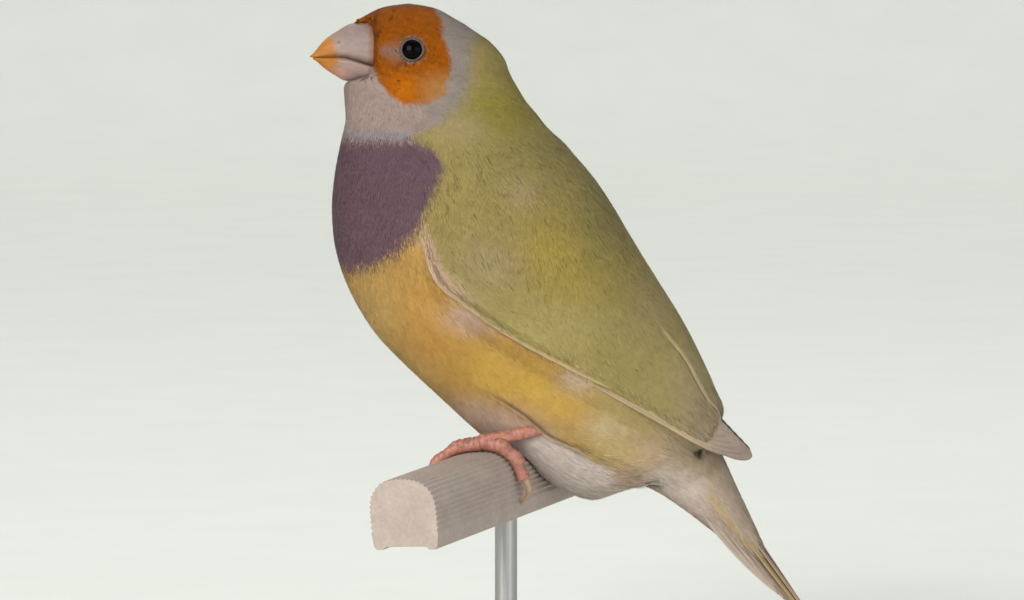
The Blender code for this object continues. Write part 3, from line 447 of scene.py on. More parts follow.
def bill_half_width(x, z):
    """Half width of the closed bill at points of the side view, held at its least above and below."""
    width = BILL_TIP_HALF_WIDTH + bill_spread(x)
    seam = curve_at(MOUTH_LINE, x)
    upper = (z - seam) / np.maximum(curve_at(CULMEN, x) - seam, BILL_LEAST_DEPTH)
    lower = (seam - z) / np.maximum(seam - curve_at(BILL_UNDERSIDE, x), BILL_LEAST_DEPTH)
    lift = np.clip(np.maximum(upper, lower), 0, 0.95) ** (1 / BILL_ROUNDNESS)
    return width * np.sqrt(1 - lift ** 2) * np.where(lower > 0, LOWER_BILL_SHARE, 1.0)


def beside_bill(x, y, z):
    """Narrow the face where the bill stands out of it, with a soft slope around the bill's base."""
    far = edge_distance(BILL_BASE, x, z)
    slope = BILL_CHIN_SLOPE + (BILL_BROW_SLOPE - BILL_CHIN_SLOPE) * smooth((z - 111.0) / 3.5)
    open_share = smooth((0.25 - far) / slope)
    limit = np.maximum(bill_half_width(x, z) - 0.3 + 0.5 * smooth((x + 25.2) / 1.0), 0.6)
    pinched = np.sign(y) * np.minimum(np.abs(y), limit)
    return pinched + (y - pinched) * open_share


def wing_axes(x, z):
    """The wing's own u and v of points in the side view."""
    across = x - WRIST[0]
    up = z - WRIST[1]
    u = across * WING_DIRECTION[0] + up * WING_DIRECTION[1]
    v = up * WING_DIRECTION[0] - across * WING_DIRECTION[1]
    return u, v


def wing_place(u, v):
    """Side-view x and z of points given in the wing's own axes."""
    x = WRIST[0] + WING_DIRECTION[0] * u - WING_DIRECTION[1] * v
    return x, WRIST[1] + WING_DIRECTION[1] * u + WING_DIRECTION[0] * v


def above_edge(x, z):
    """Distance along the wing and height above its leading edge, of points in the side view."""
    u, v = wing_axes(x, z)
    return u, v - curve_at(LEADING_EDGE, u)


def covert_end(height):
    """How far along the wing the small plumage reaches, at a height above the leading edge."""
    return np.interp(height, COVERT_HEIGHTS, COVERT_ENDS)


def wing_share(x, z, place, end):
    """How far the plumage lies on the folded wing and mantle: 0 on the body, 1 on the wing."""
    u, height = above_edge(x, z)
    front = smooth((u + 5.0) / 9.0) * smooth((place - WING_FIRST + 0.9) / 2.6)
    rear = 1 - smooth((u - end) / 6.0)
    below = 1 - smooth((u - 42.0) / 22.0)
    swell = FLANK_SWELL * smooth((height + 3.4) / 3.2) * (below + (rear - below) * smooth(height + 0.6))
    return front * (swell + (1 - FLANK_SWELL) * smooth((height + 0.1) / 0.8) * rear)


def shell(place, angle, end=PLUMAGE_END):
    """Outside of the small plumage: the body, or the covered part of the folded wings."""
    inner = body(place, angle)
    outer = body(place, angle, True)
    share = wing_share(outer[..., 0], outer[..., 2], np.asarray(place, float), end)
    out = inner + (outer - inner) * share[..., None]
    out[..., 1] *= 1 + flank_swell(out[..., 0], out[..., 2])
    return out


def flank_swell(x, z):
    """Share by which the flank's plumage stands out over the thigh, and the fluff under it lies in."""
    above = z - curve_at(FLAP_LINE, x)
    along = smooth((x + 5.0) / 5.0) * (1 - smooth((x - 14.0) / 7.0))
    over = smooth((above + 0.25) / 0.6) * np.exp(-(np.maximum(above, 0) / 5.0) ** 2)
    under = smooth((0.3 - above) / 0.6) * np.exp(-(np.minimum(above, 0) / 5.0) ** 2)
    return along * (0.055 * over - 0.05 * under)


def under_shell(place, angle):
    """The same surface without the small plumage that lies on the flight feathers."""
    return shell(place, angle, SKIN_END)


def slopes(surface, place, angle):
    """Point, change with the station, change with the angle and outward normal of a surface."""
    step = 0.01
    point = surface(place, angle)
    along = (surface(place + step, angle) - surface(place - step, angle)) / (2 * step)
    around = (surface(place, angle + step) - surface(place, angle - step)) / (2 * step)
    normal = np.cross(along, around)
    size = np.linalg.norm(normal, axis=-1, keepdims=True)
    normal = normal / np.maximum(size, 1e-9)
    return point, along, around, normal, size[..., 0]


def run_lengths(points):
    """Distance from the first of a row of points to each of them."""
    return np.concatenate(((0.0,), np.cumsum(np.linalg.norm(np.diff(points, axis=0), axis=1))))


def unit(vectors):
    return vectors / np.maximum(np.linalg.norm(vectors, axis=-1, keepdims=True), 1e-9)


def lie_direction(point):
    """Direction in which the plumage lies at points of the body, before it is laid on the surface."""
    rel = point[..., None, 0:1] - LIE[:, 0:1], point[..., None, 2:3] - LIE[:, 1:2]
    far = (rel[0] ** 2 + rel[1] ** 2)[..., 0]
    weight = 1.0 / (far + 4.0) ** 2
    weight = weight / weight.sum(axis=-1, keepdims=True)
    x = (weight * LIE[:, 2]).sum(axis=-1)
    z = (weight * LIE[:, 3]).sum(axis=-1)
    off_x = point[..., 0] - EYE[0]
    off_z = point[..., 2] - EYE[1]
    off = np.maximum(np.hypot(off_x, off_z), 0.1)
    toward = np.maximum(0.0, -(x * off_x + z * off_z) / off)
    turn = 1.7 * toward * np.exp(-(np.maximum(off - 2.3, 0) / 1.3) ** 2) / off
    return unit(np.stack((x + off_x * turn, np.zeros_like(x), z + off_z * turn), axis=-1))


def march(surface, place, angle, length, lean, steps):
    """Walk over a surface along the lie: points, normals, directions and places at each step."""
    points, normals, lines, places = [], [], [], []
    for _ in range(steps + 1):
        places.append((place, angle))
        point, along, around, normal = slopes(surface, place, angle)[:4]
        line = lie_direction(point)
        line = unit(line - normal * (line * normal).sum(-1, keepdims=True))
        line = unit(line + np.cross(normal, line) * lean[:, None])
        points.append(point)
        normals.append(normal)
        lines.append(line)
        a = (along * along).sum(-1)
        b = (along * around).sum(-1)
        c = (around * around).sum(-1)
        p = (along * line).sum(-1)
        q = (around * line).sum(-1)
        size = np.maximum(a * c - b * b, 1e-6)
        reach = length / steps
        place = place + np.clip((c * p - b * q) / size * reach, -0.8, 0.8)
        angle = angle + np.clip((a * q - b * p) / size * reach, -0.9, 0.9)
    return np.array(points), np.array(normals), np.array(lines), np.array(places)


# Perch

def perch_axes():
    """The perch's directions: across it, up from it and along it."""
    across = Vector((math.cos(PERCH_TURN), -math.sin(PERCH_TURN), 0))
    along = Vector((math.sin(PERCH_TURN), math.cos(PERCH_TURN), 0)) * math.cos(PERCH_SLOPE)
    along.z = math.sin(PERCH_SLOPE)
    up = across.cross(along).normalized()
    rolled = across * math.cos(PERCH_ROLL) + up * math.sin(PERCH_ROLL)
    return rolled, rolled.cross(along).normalized(), along


def perch_point(across_mm, up_mm, along_mm):
    """Place of a point given in the perch's own directions, from its axis at the rod."""
    across, up, along = perch_axes()
    return Vector((0, 0, PERCH_HEIGHT_AT_ROD)) + across * across_mm + up * up_mm + along * along_mm


def perch_reach(angle):
    """Distance from the perch's axis to its surface, at an angle from the top."""
    side = np.abs(np.sin(angle)) / PERCH_HALF_WIDTH
    high = np.abs(np.cos(angle)) / PERCH_HALF_HEIGHT
    power = np.where(np.cos(angle) > 0, 2.5, 5.0)
    return (side ** power + high ** power) ** (-1 / power)


def clear_of_perch(points, gap):
    """Points pushed out of the perch, so that the plumage rests against it."""
    axes = np.array([axis[:] for axis in perch_axes()])
    local = (points - np.array((0, 0, PERCH_HEIGHT_AT_ROD))) @ axes.T
    angle = np.arctan2(local[..., 0], local[..., 1])
    far = np.hypot(local[..., 0], local[..., 1])
    wanted = perch_reach(angle) + gap
    inside = (far < wanted) & (local[..., 2] > PERCH_NEAR_END) & (local[..., 2] < PERCH_FAR_END + gap)
    push = np.where(inside, wanted / np.maximum(far, 0.1), 1.0)
    local[..., 0] *= push
    local[..., 1] *= push
    return local @ axes + np.array((0, 0, PERCH_HEIGHT_AT_ROD))


# Markings

def edge_distance(outline, x, z):
    """Distance in millimetres inside a closed outline, negative outside it."""
    points = np.array(outline)
    after = np.roll(points, -1, axis=0)
    far = np.full(x.shape, 1e9)
    inside = np.zeros(x.shape, bool)
    for (ax, az), (bx, bz) in zip(points, after):
        dx = bx - ax
        dz = bz - az
        part = np.clip(((x - ax) * dx + (z - az) * dz) / (dx * dx + dz * dz), 0, 1)
        far = np.minimum(far, np.hypot(x - ax - dx * part, z - az - dz * part))
        if az != bz:
            crosses = ((az > z) != (bz > z)) & (x < (bx - ax) * (z - az) / (bz - az) + ax)
            inside ^= crosses
    return np.where(inside, far, -far)


def paint(base, name, share):
    """Mix a colour of the palette into others by a share."""
    return base + (colour(name) - base) * np.clip(share, 0, 1)[..., None]


def patches(base, rows, x, z):
    """Paint soft oval patches over a colour."""
    for name, px, pz, wide, high, strength in rows:
        far = ((x - px) / wide) ** 2 + ((z - pz) / high) ** 2
        base = paint(base, name, strength * np.exp(-far))
    return base


def under_colour(x, z):
    """Underparts below the breast, out to the vent and the root of the tail."""
    base = filled("belly", x.shape)
    base = paint(base, "flank_cream", smooth((x - 11.0) / 8.0))
    base = patches(base, UNDER_PATCHES, x, z)
    base = paint(base, "vent", smooth((x + 0.55 * (36.0 - z) - 21.0) / 9.0) * smooth((41.0 - z) / 8.0))
    base = paint(base, "vent", smooth(edge_distance(FLUFF_OUTLINE, x, z) / 1.6 + 0.5))
    return paint(base, "tail", smooth((x - 26.0) / 12.0) * 0.75)


def shaft_line(x, z):
    """Shares of the yellow shaft and of the dark line below it, on the side of the tail."""
    line = np.array(SHAFT_LINE)
    beside = (x - np.interp(-z, -line[:, 1], line[:, 0])) * 0.79
    shown = smooth((x - line[0, 0]) / 2.5)
    yellow = np.exp(-((beside - 0.75) / 0.65) ** 2) * shown
    dark = np.exp(-((beside + 0.05) / 0.28) ** 2) * shown
    return yellow, dark


def mottle(x, z):
    """Soft uneven tone over the plumage, from -1 to 1."""
    return (np.sin(0.9 * x + 1.3 * z) + np.sin(1.7 * x - 0.8 * z + 1) + np.sin(0.45 * x + 2.1 * z + 2)) / 3


def upper_colour(x, z):
    """Back, shoulders and the covered part of the wing."""
    base = filled("olive", x.shape)
    base = patches(base, UPPER_PATCHES, x, z)
    u, height = above_edge(x, z)
    base = paint(base, "olive_pale", smooth((4.5 - height) / 4.0) * smooth((u - 4) / 6.0) * 0.6)
    near = smooth((3.9 - height) / 2.4) * smooth((u + 3.5) / 3.0)
    base = paint(base, "wing_edge", near * (1 - smooth((u - 4.0) / 13.0)))
    base = paint(base, "quill_tip", smooth((u - 49.0) / 13.0) * 0.6)
    return paint(base, "tail", smooth((x - 32.0) / 7.0) * smooth((46.0 - z) / 5.0) * 0.8)


def throat_colour(x, z):
    """Chin and throat, greyer toward the nape, with a faint blue line over the breast."""
    light = paint(filled("throat", x.shape), "nape", smooth((x + 17.0) / 7.0))
    return paint(light, "collar", smooth((97.2 - z) / 1.6) * smooth((-15.0 - x) / 3.0) * 0.85)


def mask_colour(x, z):
    """Orange mask, clearer on the cheek, paler behind, with grey lore and lids and a dark front edge."""
    face = filled("mask", x.shape)
    bright = np.exp(-((x + 18.0) / 3.6) ** 2 - ((z - 103.4) / 3.4) ** 2) + 0.35 * mottle(x * 2.3, z * 2.3)
    face = paint(face, "mask_bright", np.clip(bright, 0, 1) * 0.8)
    rear = smooth((x + 17.0) / 5.0) * smooth((108.5 - z) / 4.5)
    face = paint(face, "mask_rear", rear)
    part = np.clip((x + 23.2) / 4.6, 0, 1)
    lore = smooth(part * 2.5) * np.exp(-((z - 111.0 + 0.5 * part) / (0.5 + 1.3 * part)) ** 2)
    lore = lore * (1 - smooth((x + 18.4) / 1.5))
    ring = 1 - smooth((np.hypot(x - EYE[0], z - EYE[1] - MARK_DROP) - 2.3) / 0.5)
    face = paint(face, "lore", np.maximum(lore * 0.8, ring * 0.85))
    edge = np.exp(-((x + 23.5 - 0.06 * (z - 110)) / 0.6) ** 2) * smooth((z - 106.0) / 1.5)
    face = face * (1 - 0.35 * edge)[..., None]
    speck = np.exp(-((x + 18.9) / 0.9) ** 2 - ((z - 108.3 - 0.5 * (x + 18.9)) / 0.35) ** 2)
    face = face * (1 - 0.5 * speck)[..., None]
    return face


def plumage_colour(point, side_share, jitter):
    """Colour of the small plumage at its roots, with the marks' edges broken up by the jitter."""
    x = point[..., 0] + jitter[..., 0]
    z = point[..., 2] + jitter[..., 1]
    z = z + MARK_DROP * smooth((z - 84.0) / 8.0)
    upper = np.clip(side_share, 0, 1)
    base = under_colour(x, z) * (1 - upper[..., None]) + upper_colour(x, z) * upper[..., None]
    breast = smooth(edge_distance(BREAST_OUTLINE, x, z) / 1.6 + 0.5)
    base = paint(base, "breast", breast)
    pale = smooth(edge_distance(PALE_OUTLINE, x, z) / (1.6 + 2.0 * smooth((x + 14.0) / 6.0)) + 0.5)
    base = base + (throat_colour(x, z) - base) * pale[..., None]
    mask = smooth(edge_distance(MASK_OUTLINE, x, z) / 0.9 + 0.5)
    yellow, dark = shaft_line(x, z)
    beyond = smooth((x - 33.0) / 2.0)
    base = paint(base, "shaft_yellow", yellow * beyond * 0.75)
    base = base * (1 - 0.3 * dark * beyond)[..., None]
    return base + (mask_colour(x, z) - base) * mask[..., None]


def upper_share(point, place, angle):
    """1 on the back, shoulders and wing, 0 on the underparts."""
    u, height = above_edge(point[..., 0], point[..., 2])
    above = smooth((height + 0.3) / 0.7)
    shoulder = smooth((point[..., 0] + 18.0) / 2.4)
    rump = smooth((np.cos(angle) - 0.05) / 0.5)
    on_wing = above * smooth((u + 4.0) / 3.0) * (1 - smooth((u - 45.0) / 8.0))
    neck = shoulder * (1 - smooth((place - 12.0) / 1.5))
    return np.clip(np.maximum(np.maximum(on_wing, neck), rump * smooth((place - 8.0) / 2.0)), 0, 1)


# Meshes

def place_mesh(name, points, faces):
    """Smooth object of a mesh given in millimetres, whose faces all have the same count of corners."""
    faces = np.asarray(faces, np.int32)
    mesh = bpy.data.meshes.new(name)
    mesh.vertices.add(len(points))
    mesh.vertices.foreach_set("co", (np.asarray(points, float) * MM).astype(np.float32).ravel())
    mesh.loops.add(faces.size)
    mesh.loops.foreach_set("vertex_index", faces.ravel())
    mesh.polygons.add(len(faces))
    mesh.polygons.foreach_set("loop_start", np.arange(0, faces.size, faces.shape[1], dtype=np.int32))
    mesh.polygons.foreach_set("use_smooth", np.full(len(faces), True))
    mesh.update(calc_edges=True)
    thing = bpy.data.objects.new(name, mesh)
    bpy.context.scene.collection.objects.link(thing)
    return thing


def turned_out(points, faces):
    """Faces of a closed mesh, turned so that they look outward."""
    corners = np.asarray(points)[np.asarray(faces)]
    volume = np.einsum("ij,ij->", corners[:, 0], np.cross(corners[:, 1], corners[:, 2]))
    return np.asarray(faces)[:, ::-1] if volume < 0 else np.asarray(faces)


def set_values(thing, name, values, kind="FLOAT_COLOR"):
    """Store one value a vertex: a colour with its tone, a vector, or a plain number."""
    layer = thing.data.attributes.new(name, kind, "POINT")
    field = {"FLOAT_COLOR": "color", "FLOAT_VECTOR": "vector", "FLOAT": "value"}[kind]
    layer.data.foreach_set(field, np.asarray(values, np.float32).ravel())


def set_map(thing, corners):
    layer = thing.data.uv_layers.new(name="OFBake")
    layer.uv.foreach_set("vector", np.asarray(corners, np.float32).ravel())


def hang(thing, material, slot, *nodes):
    """Give a piece its material, let it ride on the bird, and hide the solids it stands for. The slot is
    not used.
    """
    thing.data.materials.clear()
    thing.data.materials.append(material)
    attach(thing, "root")
    if nodes:
        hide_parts(*nodes)


# Shader nodes and the plumage's materials

def group_tree(name, inputs, outputs):
    """Empty shader group with named inputs, given with their defaults, and named outputs."""
    tree = bpy.data.node_groups.new(name, "ShaderNodeTree")
    for label, kind, default in inputs:
        socket = tree.interface.new_socket(label, in_out="INPUT", socket_type=kind)
        if default is not None:
            socket.default_value = default
    for label, kind in outputs:
        tree.interface.new_socket(label, in_out="OUTPUT", socket_type=kind)
    return tree, tree.nodes.new("NodeGroupInput"), tree.nodes.new("NodeGroupOutput")


def feed(tree, entry, value):
    """Link a socket to an input, or set the input to a plain value."""
    if isinstance(value, bpy.types.NodeSocket):
        tree.links.new(value, entry)
    elif entry.type == "RGBA":
        entry.default_value = (*value, 1.0)
    else:
        entry.default_value = value


def node(tree, kind, **values):
    """Add a node. Settings go by their names and inputs by in_ names, as values or as sockets."""
    made = tree.nodes.new("ShaderNode" + kind)
    for name, value in values.items():
        if name.startswith("in_"):
            key = name[3:]
            feed(tree, made.inputs[int(key) if key.isdigit() else key.replace("_", " ")], value)
        else:
            setattr(made, name, value)
    return made


def maths(tree, operation, *values):
    """Result of a Math node for sockets or plain numbers."""
    made = node(tree, "Math", operation=operation)
    for entry, value in zip(made.inputs, values):
        feed(tree, entry, value)
    return made.outputs[0]


def scaled(tree, tint, factor):
    return node(tree, "VectorMath", operation="SCALE", in_0=tint, in_Scale=factor).outputs[0]


def mixed(tree, factor, first, second):
    """Two colours mixed by a factor."""
    made = node(tree, "Mix", data_type="RGBA", blend_type="MIX")
    for place, value in ((0, factor), (6, first), (7, second)):
        feed(tree, made.inputs[place], value)
    return made.outputs[2]


def band(tree, source, low, high, start, end):
    """Soft step from one value to another between two limits of a source."""
    made = node(tree, "MapRange", interpolation_type="SMOOTHSTEP", in_Value=source,
                in_From_Min=low, in_From_Max=high, in_To_Min=start, in_To_Max=end)
    return made.outputs[0]


def grain_group():
    """Fine mottling: lightens and darkens a colour, and gives a height for bumps."""
    if "Fine grain" in bpy.data.node_groups:
        return bpy.data.node_groups["Fine grain"]
    tree, inside, outside = group_tree(
        "Fine grain",
        (("Color", "NodeSocketColor", None), ("Scale", "NodeSocketFloat", 900.0),
         ("Amount", "NodeSocketFloat", 0.15), ("Stretch", "NodeSocketVector", (1.0, 1.0, 1.0))),
        (("Color", "NodeSocketColor"), ("Height", "NodeSocketFloat")))
    where = node(tree, "VectorMath", operation="MULTIPLY", in_0=node(tree, "TexCoord").outputs["Object"],
                 in_1=inside.outputs["Stretch"])
    noise = node(tree, "TexNoise", in_Vector=where.outputs[0], in_Scale=inside.outputs["Scale"],
                 in_Detail=3.0, in_Roughness=0.6).outputs["Fac"]
    spread = node(tree, "MapRange", in_Value=noise, in_From_Min=0.3, in_From_Max=0.7,
                  in_To_Min=-1.0, in_To_Max=1.0).outputs[0]
    share = maths(tree, "MULTIPLY", spread, inside.outputs["Amount"])
    tint = scaled(tree, inside.outputs["Color"], maths(tree, "ADD", share, 1.0))
    feed(tree, outside.inputs["Color"], tint)
    feed(tree, outside.inputs["Height"], noise)
    return tree


def painted_group():
    """Colour and tone stored on the mesh, as one colour. Besides the plumage's own variation, the tone
    holds painted shade.
    """
    if "Painted tone" in bpy.data.node_groups:
        return bpy.data.node_groups["Painted tone"]
    tree, inside, outside = group_tree(
        "Painted tone", (("Strength", "NodeSocketFloat", 1.0),), (("Color", "NodeSocketColor"),))
    stored = node(tree, "Attribute", attribute_name="plumage").outputs
    tone = maths(tree, "POWER", stored["Alpha"], inside.outputs["Strength"])
    feed(tree, outside.inputs["Color"], scaled(tree, stored["Color"], tone))
    return tree


def painted(tree):
    return node(tree, "Group", node_tree=painted_group()).outputs["Color"]


def grained(tree, source, scale, amount, stretch=(1.0, 1.0, 1.0)):
    """Outputs of the fine grain over a colour."""
    return node(tree, "Group", node_tree=grain_group(), in_Color=source, in_Scale=scale,
                in_Amount=amount, in_Stretch=stretch).outputs


def new_material(name, roughness, specular=0.5, **inputs):
    """Material with a principled shader, whose further inputs go by their names with _ for a space."""
    material = bpy.data.materials.new(name)
    material.use_nodes = True
    shader = material.node_tree.nodes["Principled BSDF"]
    inputs.update(Roughness=roughness, Specular_IOR_Level=specular, Sheen_Roughness=0.4,
                  Coat_Roughness=0.06)
    for label, value in inputs.items():
        shader.inputs[label.replace("_", " ")].default_value = value
    return material, material.node_tree, shader


def bump(tree, shader, height, strength, distance):
    made = node(tree, "Bump", in_Strength=strength, in_Distance=distance, in_Height=height)
    feed(tree, shader.inputs["Normal"], made.outputs["Normal"])


def grain_finish(tree, shader, source, scale, amount, strength=0.0, depth=0.0, stretch=(1.0, 1.0, 1.0)):
    """Colour the shader through the fine grain, with bumps where they have a strength."""
    grain = grained(tree, source, scale, amount, stretch)
    feed(tree, shader.inputs["Base Color"], grain["Color"])
    if strength:
        bump(tree, shader, grain["Height"], strength, depth)


def plumage_material():
    if "plumage" in bpy.data.materials:
        return bpy.data.materials["plumage"]
    material, tree, shader = new_material("plumage", 0.85, 0.12, Sheen_Weight=0.06)
    broad = grained(tree, painted(tree), 110.0, 0.06)
    grain_finish(tree, shader, broad["Color"], 700.0, 0.07)
    return material


BARB_SPACING = 0.3


def vane_material():
    """Flight feathers: barbs run slantwise from the shaft, with a soft gloss."""
    if "vane" in bpy.data.materials:
        return bpy.data.materials["vane"]
    material, tree, shader = new_material("vane", 0.65, 0.2, Sheen_Weight=0.08)
    barb = node(tree, "Attribute", attribute_name="barb").outputs["Fac"]
    wave = maths(tree, "SINE", maths(tree, "MULTIPLY", barb, 2 * math.pi / BARB_SPACING))
    lift = node(tree, "MapRange", in_Value=wave, in_From_Min=-1.0, in_From_Max=1.0,
                in_To_Min=0.97, in_To_Max=1.02).outputs[0]
    grain_finish(tree, shader, scaled(tree, painted(tree), lift), 500.0, 0.08)
    bump(tree, shader, wave, 0.12, 0.00004)
    return material


# Plumage

SKIN_ROWS = 190
SKIN_COLUMNS = 120
# Tone of the skin under the plumage, darker than the tufts over it: painted shade in the gaps between the
# tufts
SKIN_SHADE_TONE = 0.84
MAP_MARGIN = 0.03
MAP_SPAN = 0.94


def skin_depth(place):
    """Depth of the skin below the outside of the plumage, in millimetres."""
    share = smooth((np.asarray(place, float) - 6.5) / 3.5)
    face = settings().face_depth / MM
    coat = settings().coat_depth / MM
    tail = smooth((np.asarray(place, float) - 22.0) / 3.0)
    return (face + (coat - face) * share) * (1 - 0.55 * tail)


def unwrap(place, angle):
    """Flat map of the skin's own shape: around it and along it."""
    around = MAP_MARGIN + MAP_SPAN * np.mod(angle + math.pi, 2 * math.pi) / (2 * math.pi)
    return np.stack((around, MAP_MARGIN + MAP_SPAN * np.clip(place, 0, LAST) / LAST), axis=-1)


def make_skin():
    """One skin from crown to tail, under the plumage."""
    rows, columns = SKIN_ROWS, SKIN_COLUMNS
    place = np.linspace(0.0, LAST, rows + 1)[1:]
    angle = np.linspace(-math.pi, math.pi, columns + 1)[:-1]
    grid_place, grid_angle = np.meshgrid(place, angle, indexing="ij")
    point, _, _, normal, _ = slopes(under_shell, grid_place, grid_angle)
    low = point - normal * skin_depth(grid_place)[..., None]
    middle = section(grid_place)[0]
    shrink = (0.55 * smooth((grid_place - 23.5) / 2.0))[..., None]
    centre = np.stack((middle[..., 0], np.zeros(low.shape[:2]), middle[..., 1]), axis=-1)
    low = clear_of_perch(low + (centre - low) * shrink, 0.15)
    share = upper_share(point, grid_place, grid_angle)
    tint = plumage_colour(point, share, np.zeros(point.shape[:2] + (2,)))
    points = low.reshape(-1, 3)
    top = body(np.array([0.0]), np.array([0.0]))[0] - np.array((0, 0, 0.5))
    end = low[-1].mean(axis=0)
    points = np.vstack((points, top, end))
    here = np.arange(columns)
    nxt = (here + 1) % columns
    faces = []
    for start in range(0, (rows - 1) * columns, columns):
        faces.append(np.stack((here, nxt + columns, nxt), axis=-1) + start)
        faces.append(np.stack((here, here + columns, nxt + columns), axis=-1) + start)
    faces.append(np.stack((np.full(columns, len(points) - 2), here, nxt), axis=-1))
    last_row = (rows - 1) * columns
    faces.append(np.stack((last_row + here, np.full(columns, len(points) - 1), last_row + nxt), axis=-1))
    faces = np.vstack(faces)
    skin = place_mesh("skin", points, faces)
    # The skin takes the plumage's colours at a darker tone: painted shade seen between the tufts
    flat = np.hstack((tint.reshape(-1, 3), np.full((rows * columns, 1), SKIN_SHADE_TONE)))
    set_values(skin, "plumage", np.vstack((flat, flat[:1], flat[-1:])))
    around = unwrap(np.append(grid_place.ravel(), (0.0, LAST)), np.append(grid_angle.ravel(), (0.0, 0.0)))
    corners = around[faces]
    wraps = (corners[:, :, 0].max(axis=1) - corners[:, :, 0].min(axis=1)) > 0.5
    fix = corners[wraps]
    fix[:, :, 0] += np.where(fix[:, :, 0] < 0.5, MAP_SPAN, 0.0)
    corners[wraps] = fix
    set_map(skin, corners)
    hang(skin, plumage_material(), "plumage_body", "head", "neck", "torso", "rump")


# Steps of an even spread in two directions, from the plastic number
SPREAD_ALONG = 0.7548776662466927
SPREAD_AROUND = 0.5698402909980532


def scatter(count, first, last, seed):
    """Evenly spread stations and angles, the surface that each stands for, and the random draws."""
    number = np.arange(count)
    place = first + (last - first) * np.mod(0.5 + number * SPREAD_ALONG, 1.0)
    angle = -math.pi + 2 * math.pi * np.mod(0.5 + number * SPREAD_AROUND, 1.0)
    return place, angle, slopes(shell, place, angle)[-1], np.random.default_rng(seed)


def probed(first, last):
    """Area of the shell between two stations, and the sizes of a sample of its patches."""
    sizes = scatter(4000, first, last, 1)[2]
    return sizes.mean() * (last - first) * 2 * math.pi, sizes


TUFT_STEPS = 3
TUFT_SINK = 0.12
TUFT_MAP_HALF = 0.0013
# Parts along a strip at which it has points, with the strip's half width there
TUFT_RINGS = ((0.0, 0.75), (0.5, 1.15), (1.0, 0.0))
STRIP_FACES = np.array(((0, 3, 1), (0, 2, 3), (2, 4, 3)))


def turned_shake(line, shake):
    """Random shifts of a colour's place in the side view, long with the lie and short across it."""
    return np.stack((line[..., 0] * shake[..., 0] - line[..., 2] * shake[..., 1] * 0.3,
                     line[..., 2] * shake[..., 0] + line[..., 0] * shake[..., 1] * 0.3), axis=-1)


def tufts(name, place, angle, length, width, lobes, rng, lift, ragged, contrast=0.06):
    """Feathers of narrow strips that fan out from one root and lie along the plumage."""
    count = len(place)
    lean = rng.normal(0.0, 0.10, count)
    points, normals, lines, places = march(shell, place, angle, length, lean, TUFT_STEPS)
    across = np.cross(normals, lines)
    depth = skin_depth(place)
    shares = np.linspace(-1, 1, lobes)[None, :] + rng.normal(0, 0.15, (count, lobes))
    reach = (1 - 0.30 * shares ** 2) * rng.uniform(0.82, 1.06, (count, lobes))
    middle = points[2][:, None, :] + across[2][:, None, :] * (shares * width[:, None] * 0.8)[..., None]
    shake = rng.normal(0, 1.0, (count, lobes, 2)) * ragged[:, None, None]
    upper = upper_share(points[2], places[2][0], places[2][1])
    tint = plumage_colour(middle, np.repeat(upper[:, None], lobes, axis=1),
                          turned_shake(lines[2][:, None, :], shake))
    under = smooth((place - 17.5) / 1.5) * smooth((-np.cos(angle) + 0.1) / 0.5)
    spread = contrast + 0.09 * under[:, None]
    tones = rng.uniform(0.97, 1.03, count)[:, None] * (1 + rng.uniform(-1, 1, (count, lobes)) * spread)
    tones = tones * (1 + 0.035 * mottle(middle[..., 0], middle[..., 2])) * (1 - max(0.0, contrast - 0.1))
    streak = rng.random((count, lobes)) < 0.006 + 0.022 * upper[:, None] * smooth((place - 9) / 2)[:, None]
    tones = np.where(streak, tones * 0.70, tones)
    grid = np.arange(count)[:, None]
    where = unwrap(place, angle)
    out_points, out_normals, out_tones, maps = [], [], [], []
    for part, thick in TUFT_RINGS:
        spot = np.clip(part * reach, 0, 1) * TUFT_STEPS
        low = np.minimum(spot.astype(int), TUFT_STEPS - 1)
        rest = (spot - low)[..., None]
        centre, normal, side = (row[low, grid] * (1 - rest) + row[low + 1, grid] * rest
                                for row in (points, normals, across))
        normal = unit(normal)
        side = unit(side)
        fan = shares * (0.2 + 0.8 * part ** 0.8) * width[:, None]
        height = -(depth[:, None] + TUFT_SINK) * (1 - part) ** 2.6 + lift[:, None] * part
        height = height + 0.03 * np.sin(shares * 9.0 + grid) * part
        centre = centre + side * fan[..., None] + normal * height[..., None]
        half = width[:, None] / lobes * thick * np.ones((1, lobes))
        for hand in ((-1, 1) if thick else (0,)):
            out_points.append(centre + side * (hand * half)[..., None])
            out_normals.append(unit(normal + side * (0.10 * hand + 0.10 * shares)[..., None]))
            # Strips darker at the root and paler toward the tip: painted shade where they lie under the
            # other strips
            out_tones.append(tones * (0.86 + 0.16 * part))
            maps.append(np.stack((
                where[:, None, 0] + TUFT_MAP_HALF * np.clip(shares, -1, 1) + 0.0002 * hand,
                where[:, None, 1] + TUFT_MAP_HALF * (2 * part - 1) + 0 * shares), axis=-1))
    per = len(out_points)
    stacked = clear_of_perch(np.stack(out_points, axis=2), TUFT_SINK).reshape(-1, 3)
    faces = ((np.arange(count * lobes) * per)[:, None, None] + STRIP_FACES[None]).reshape(-1, 3)
    thing = place_mesh(name, stacked, faces)
    rgba = np.concatenate((
        np.repeat(tint[:, :, None, :], per, axis=2), np.stack(out_tones, axis=2)[..., None]), axis=-1)
    set_values(thing, "plumage", rgba.reshape(-1, 4))
    set_values(thing, "custom_normal", np.stack(out_normals, axis=2).reshape(-1, 3), "FLOAT_VECTOR")
    set_map(thing, np.stack(maps, axis=2).reshape(-1, 2)[faces])
    return thing


def eye_spots():
    """Middle of each eye opening on the head's surface, and the outward direction there."""
    place, share = side_place(np.array([EYE[0]]), np.array([EYE[1]]), False, 0.0)
    out = []
    for side, word in SIDES:
        angle = side * side_angle(place, share)
        point, _, _, normal, _ = slopes(body, place, angle)
        out.append((word, Vector(point[0]), Vector(normal[0])))
    return out


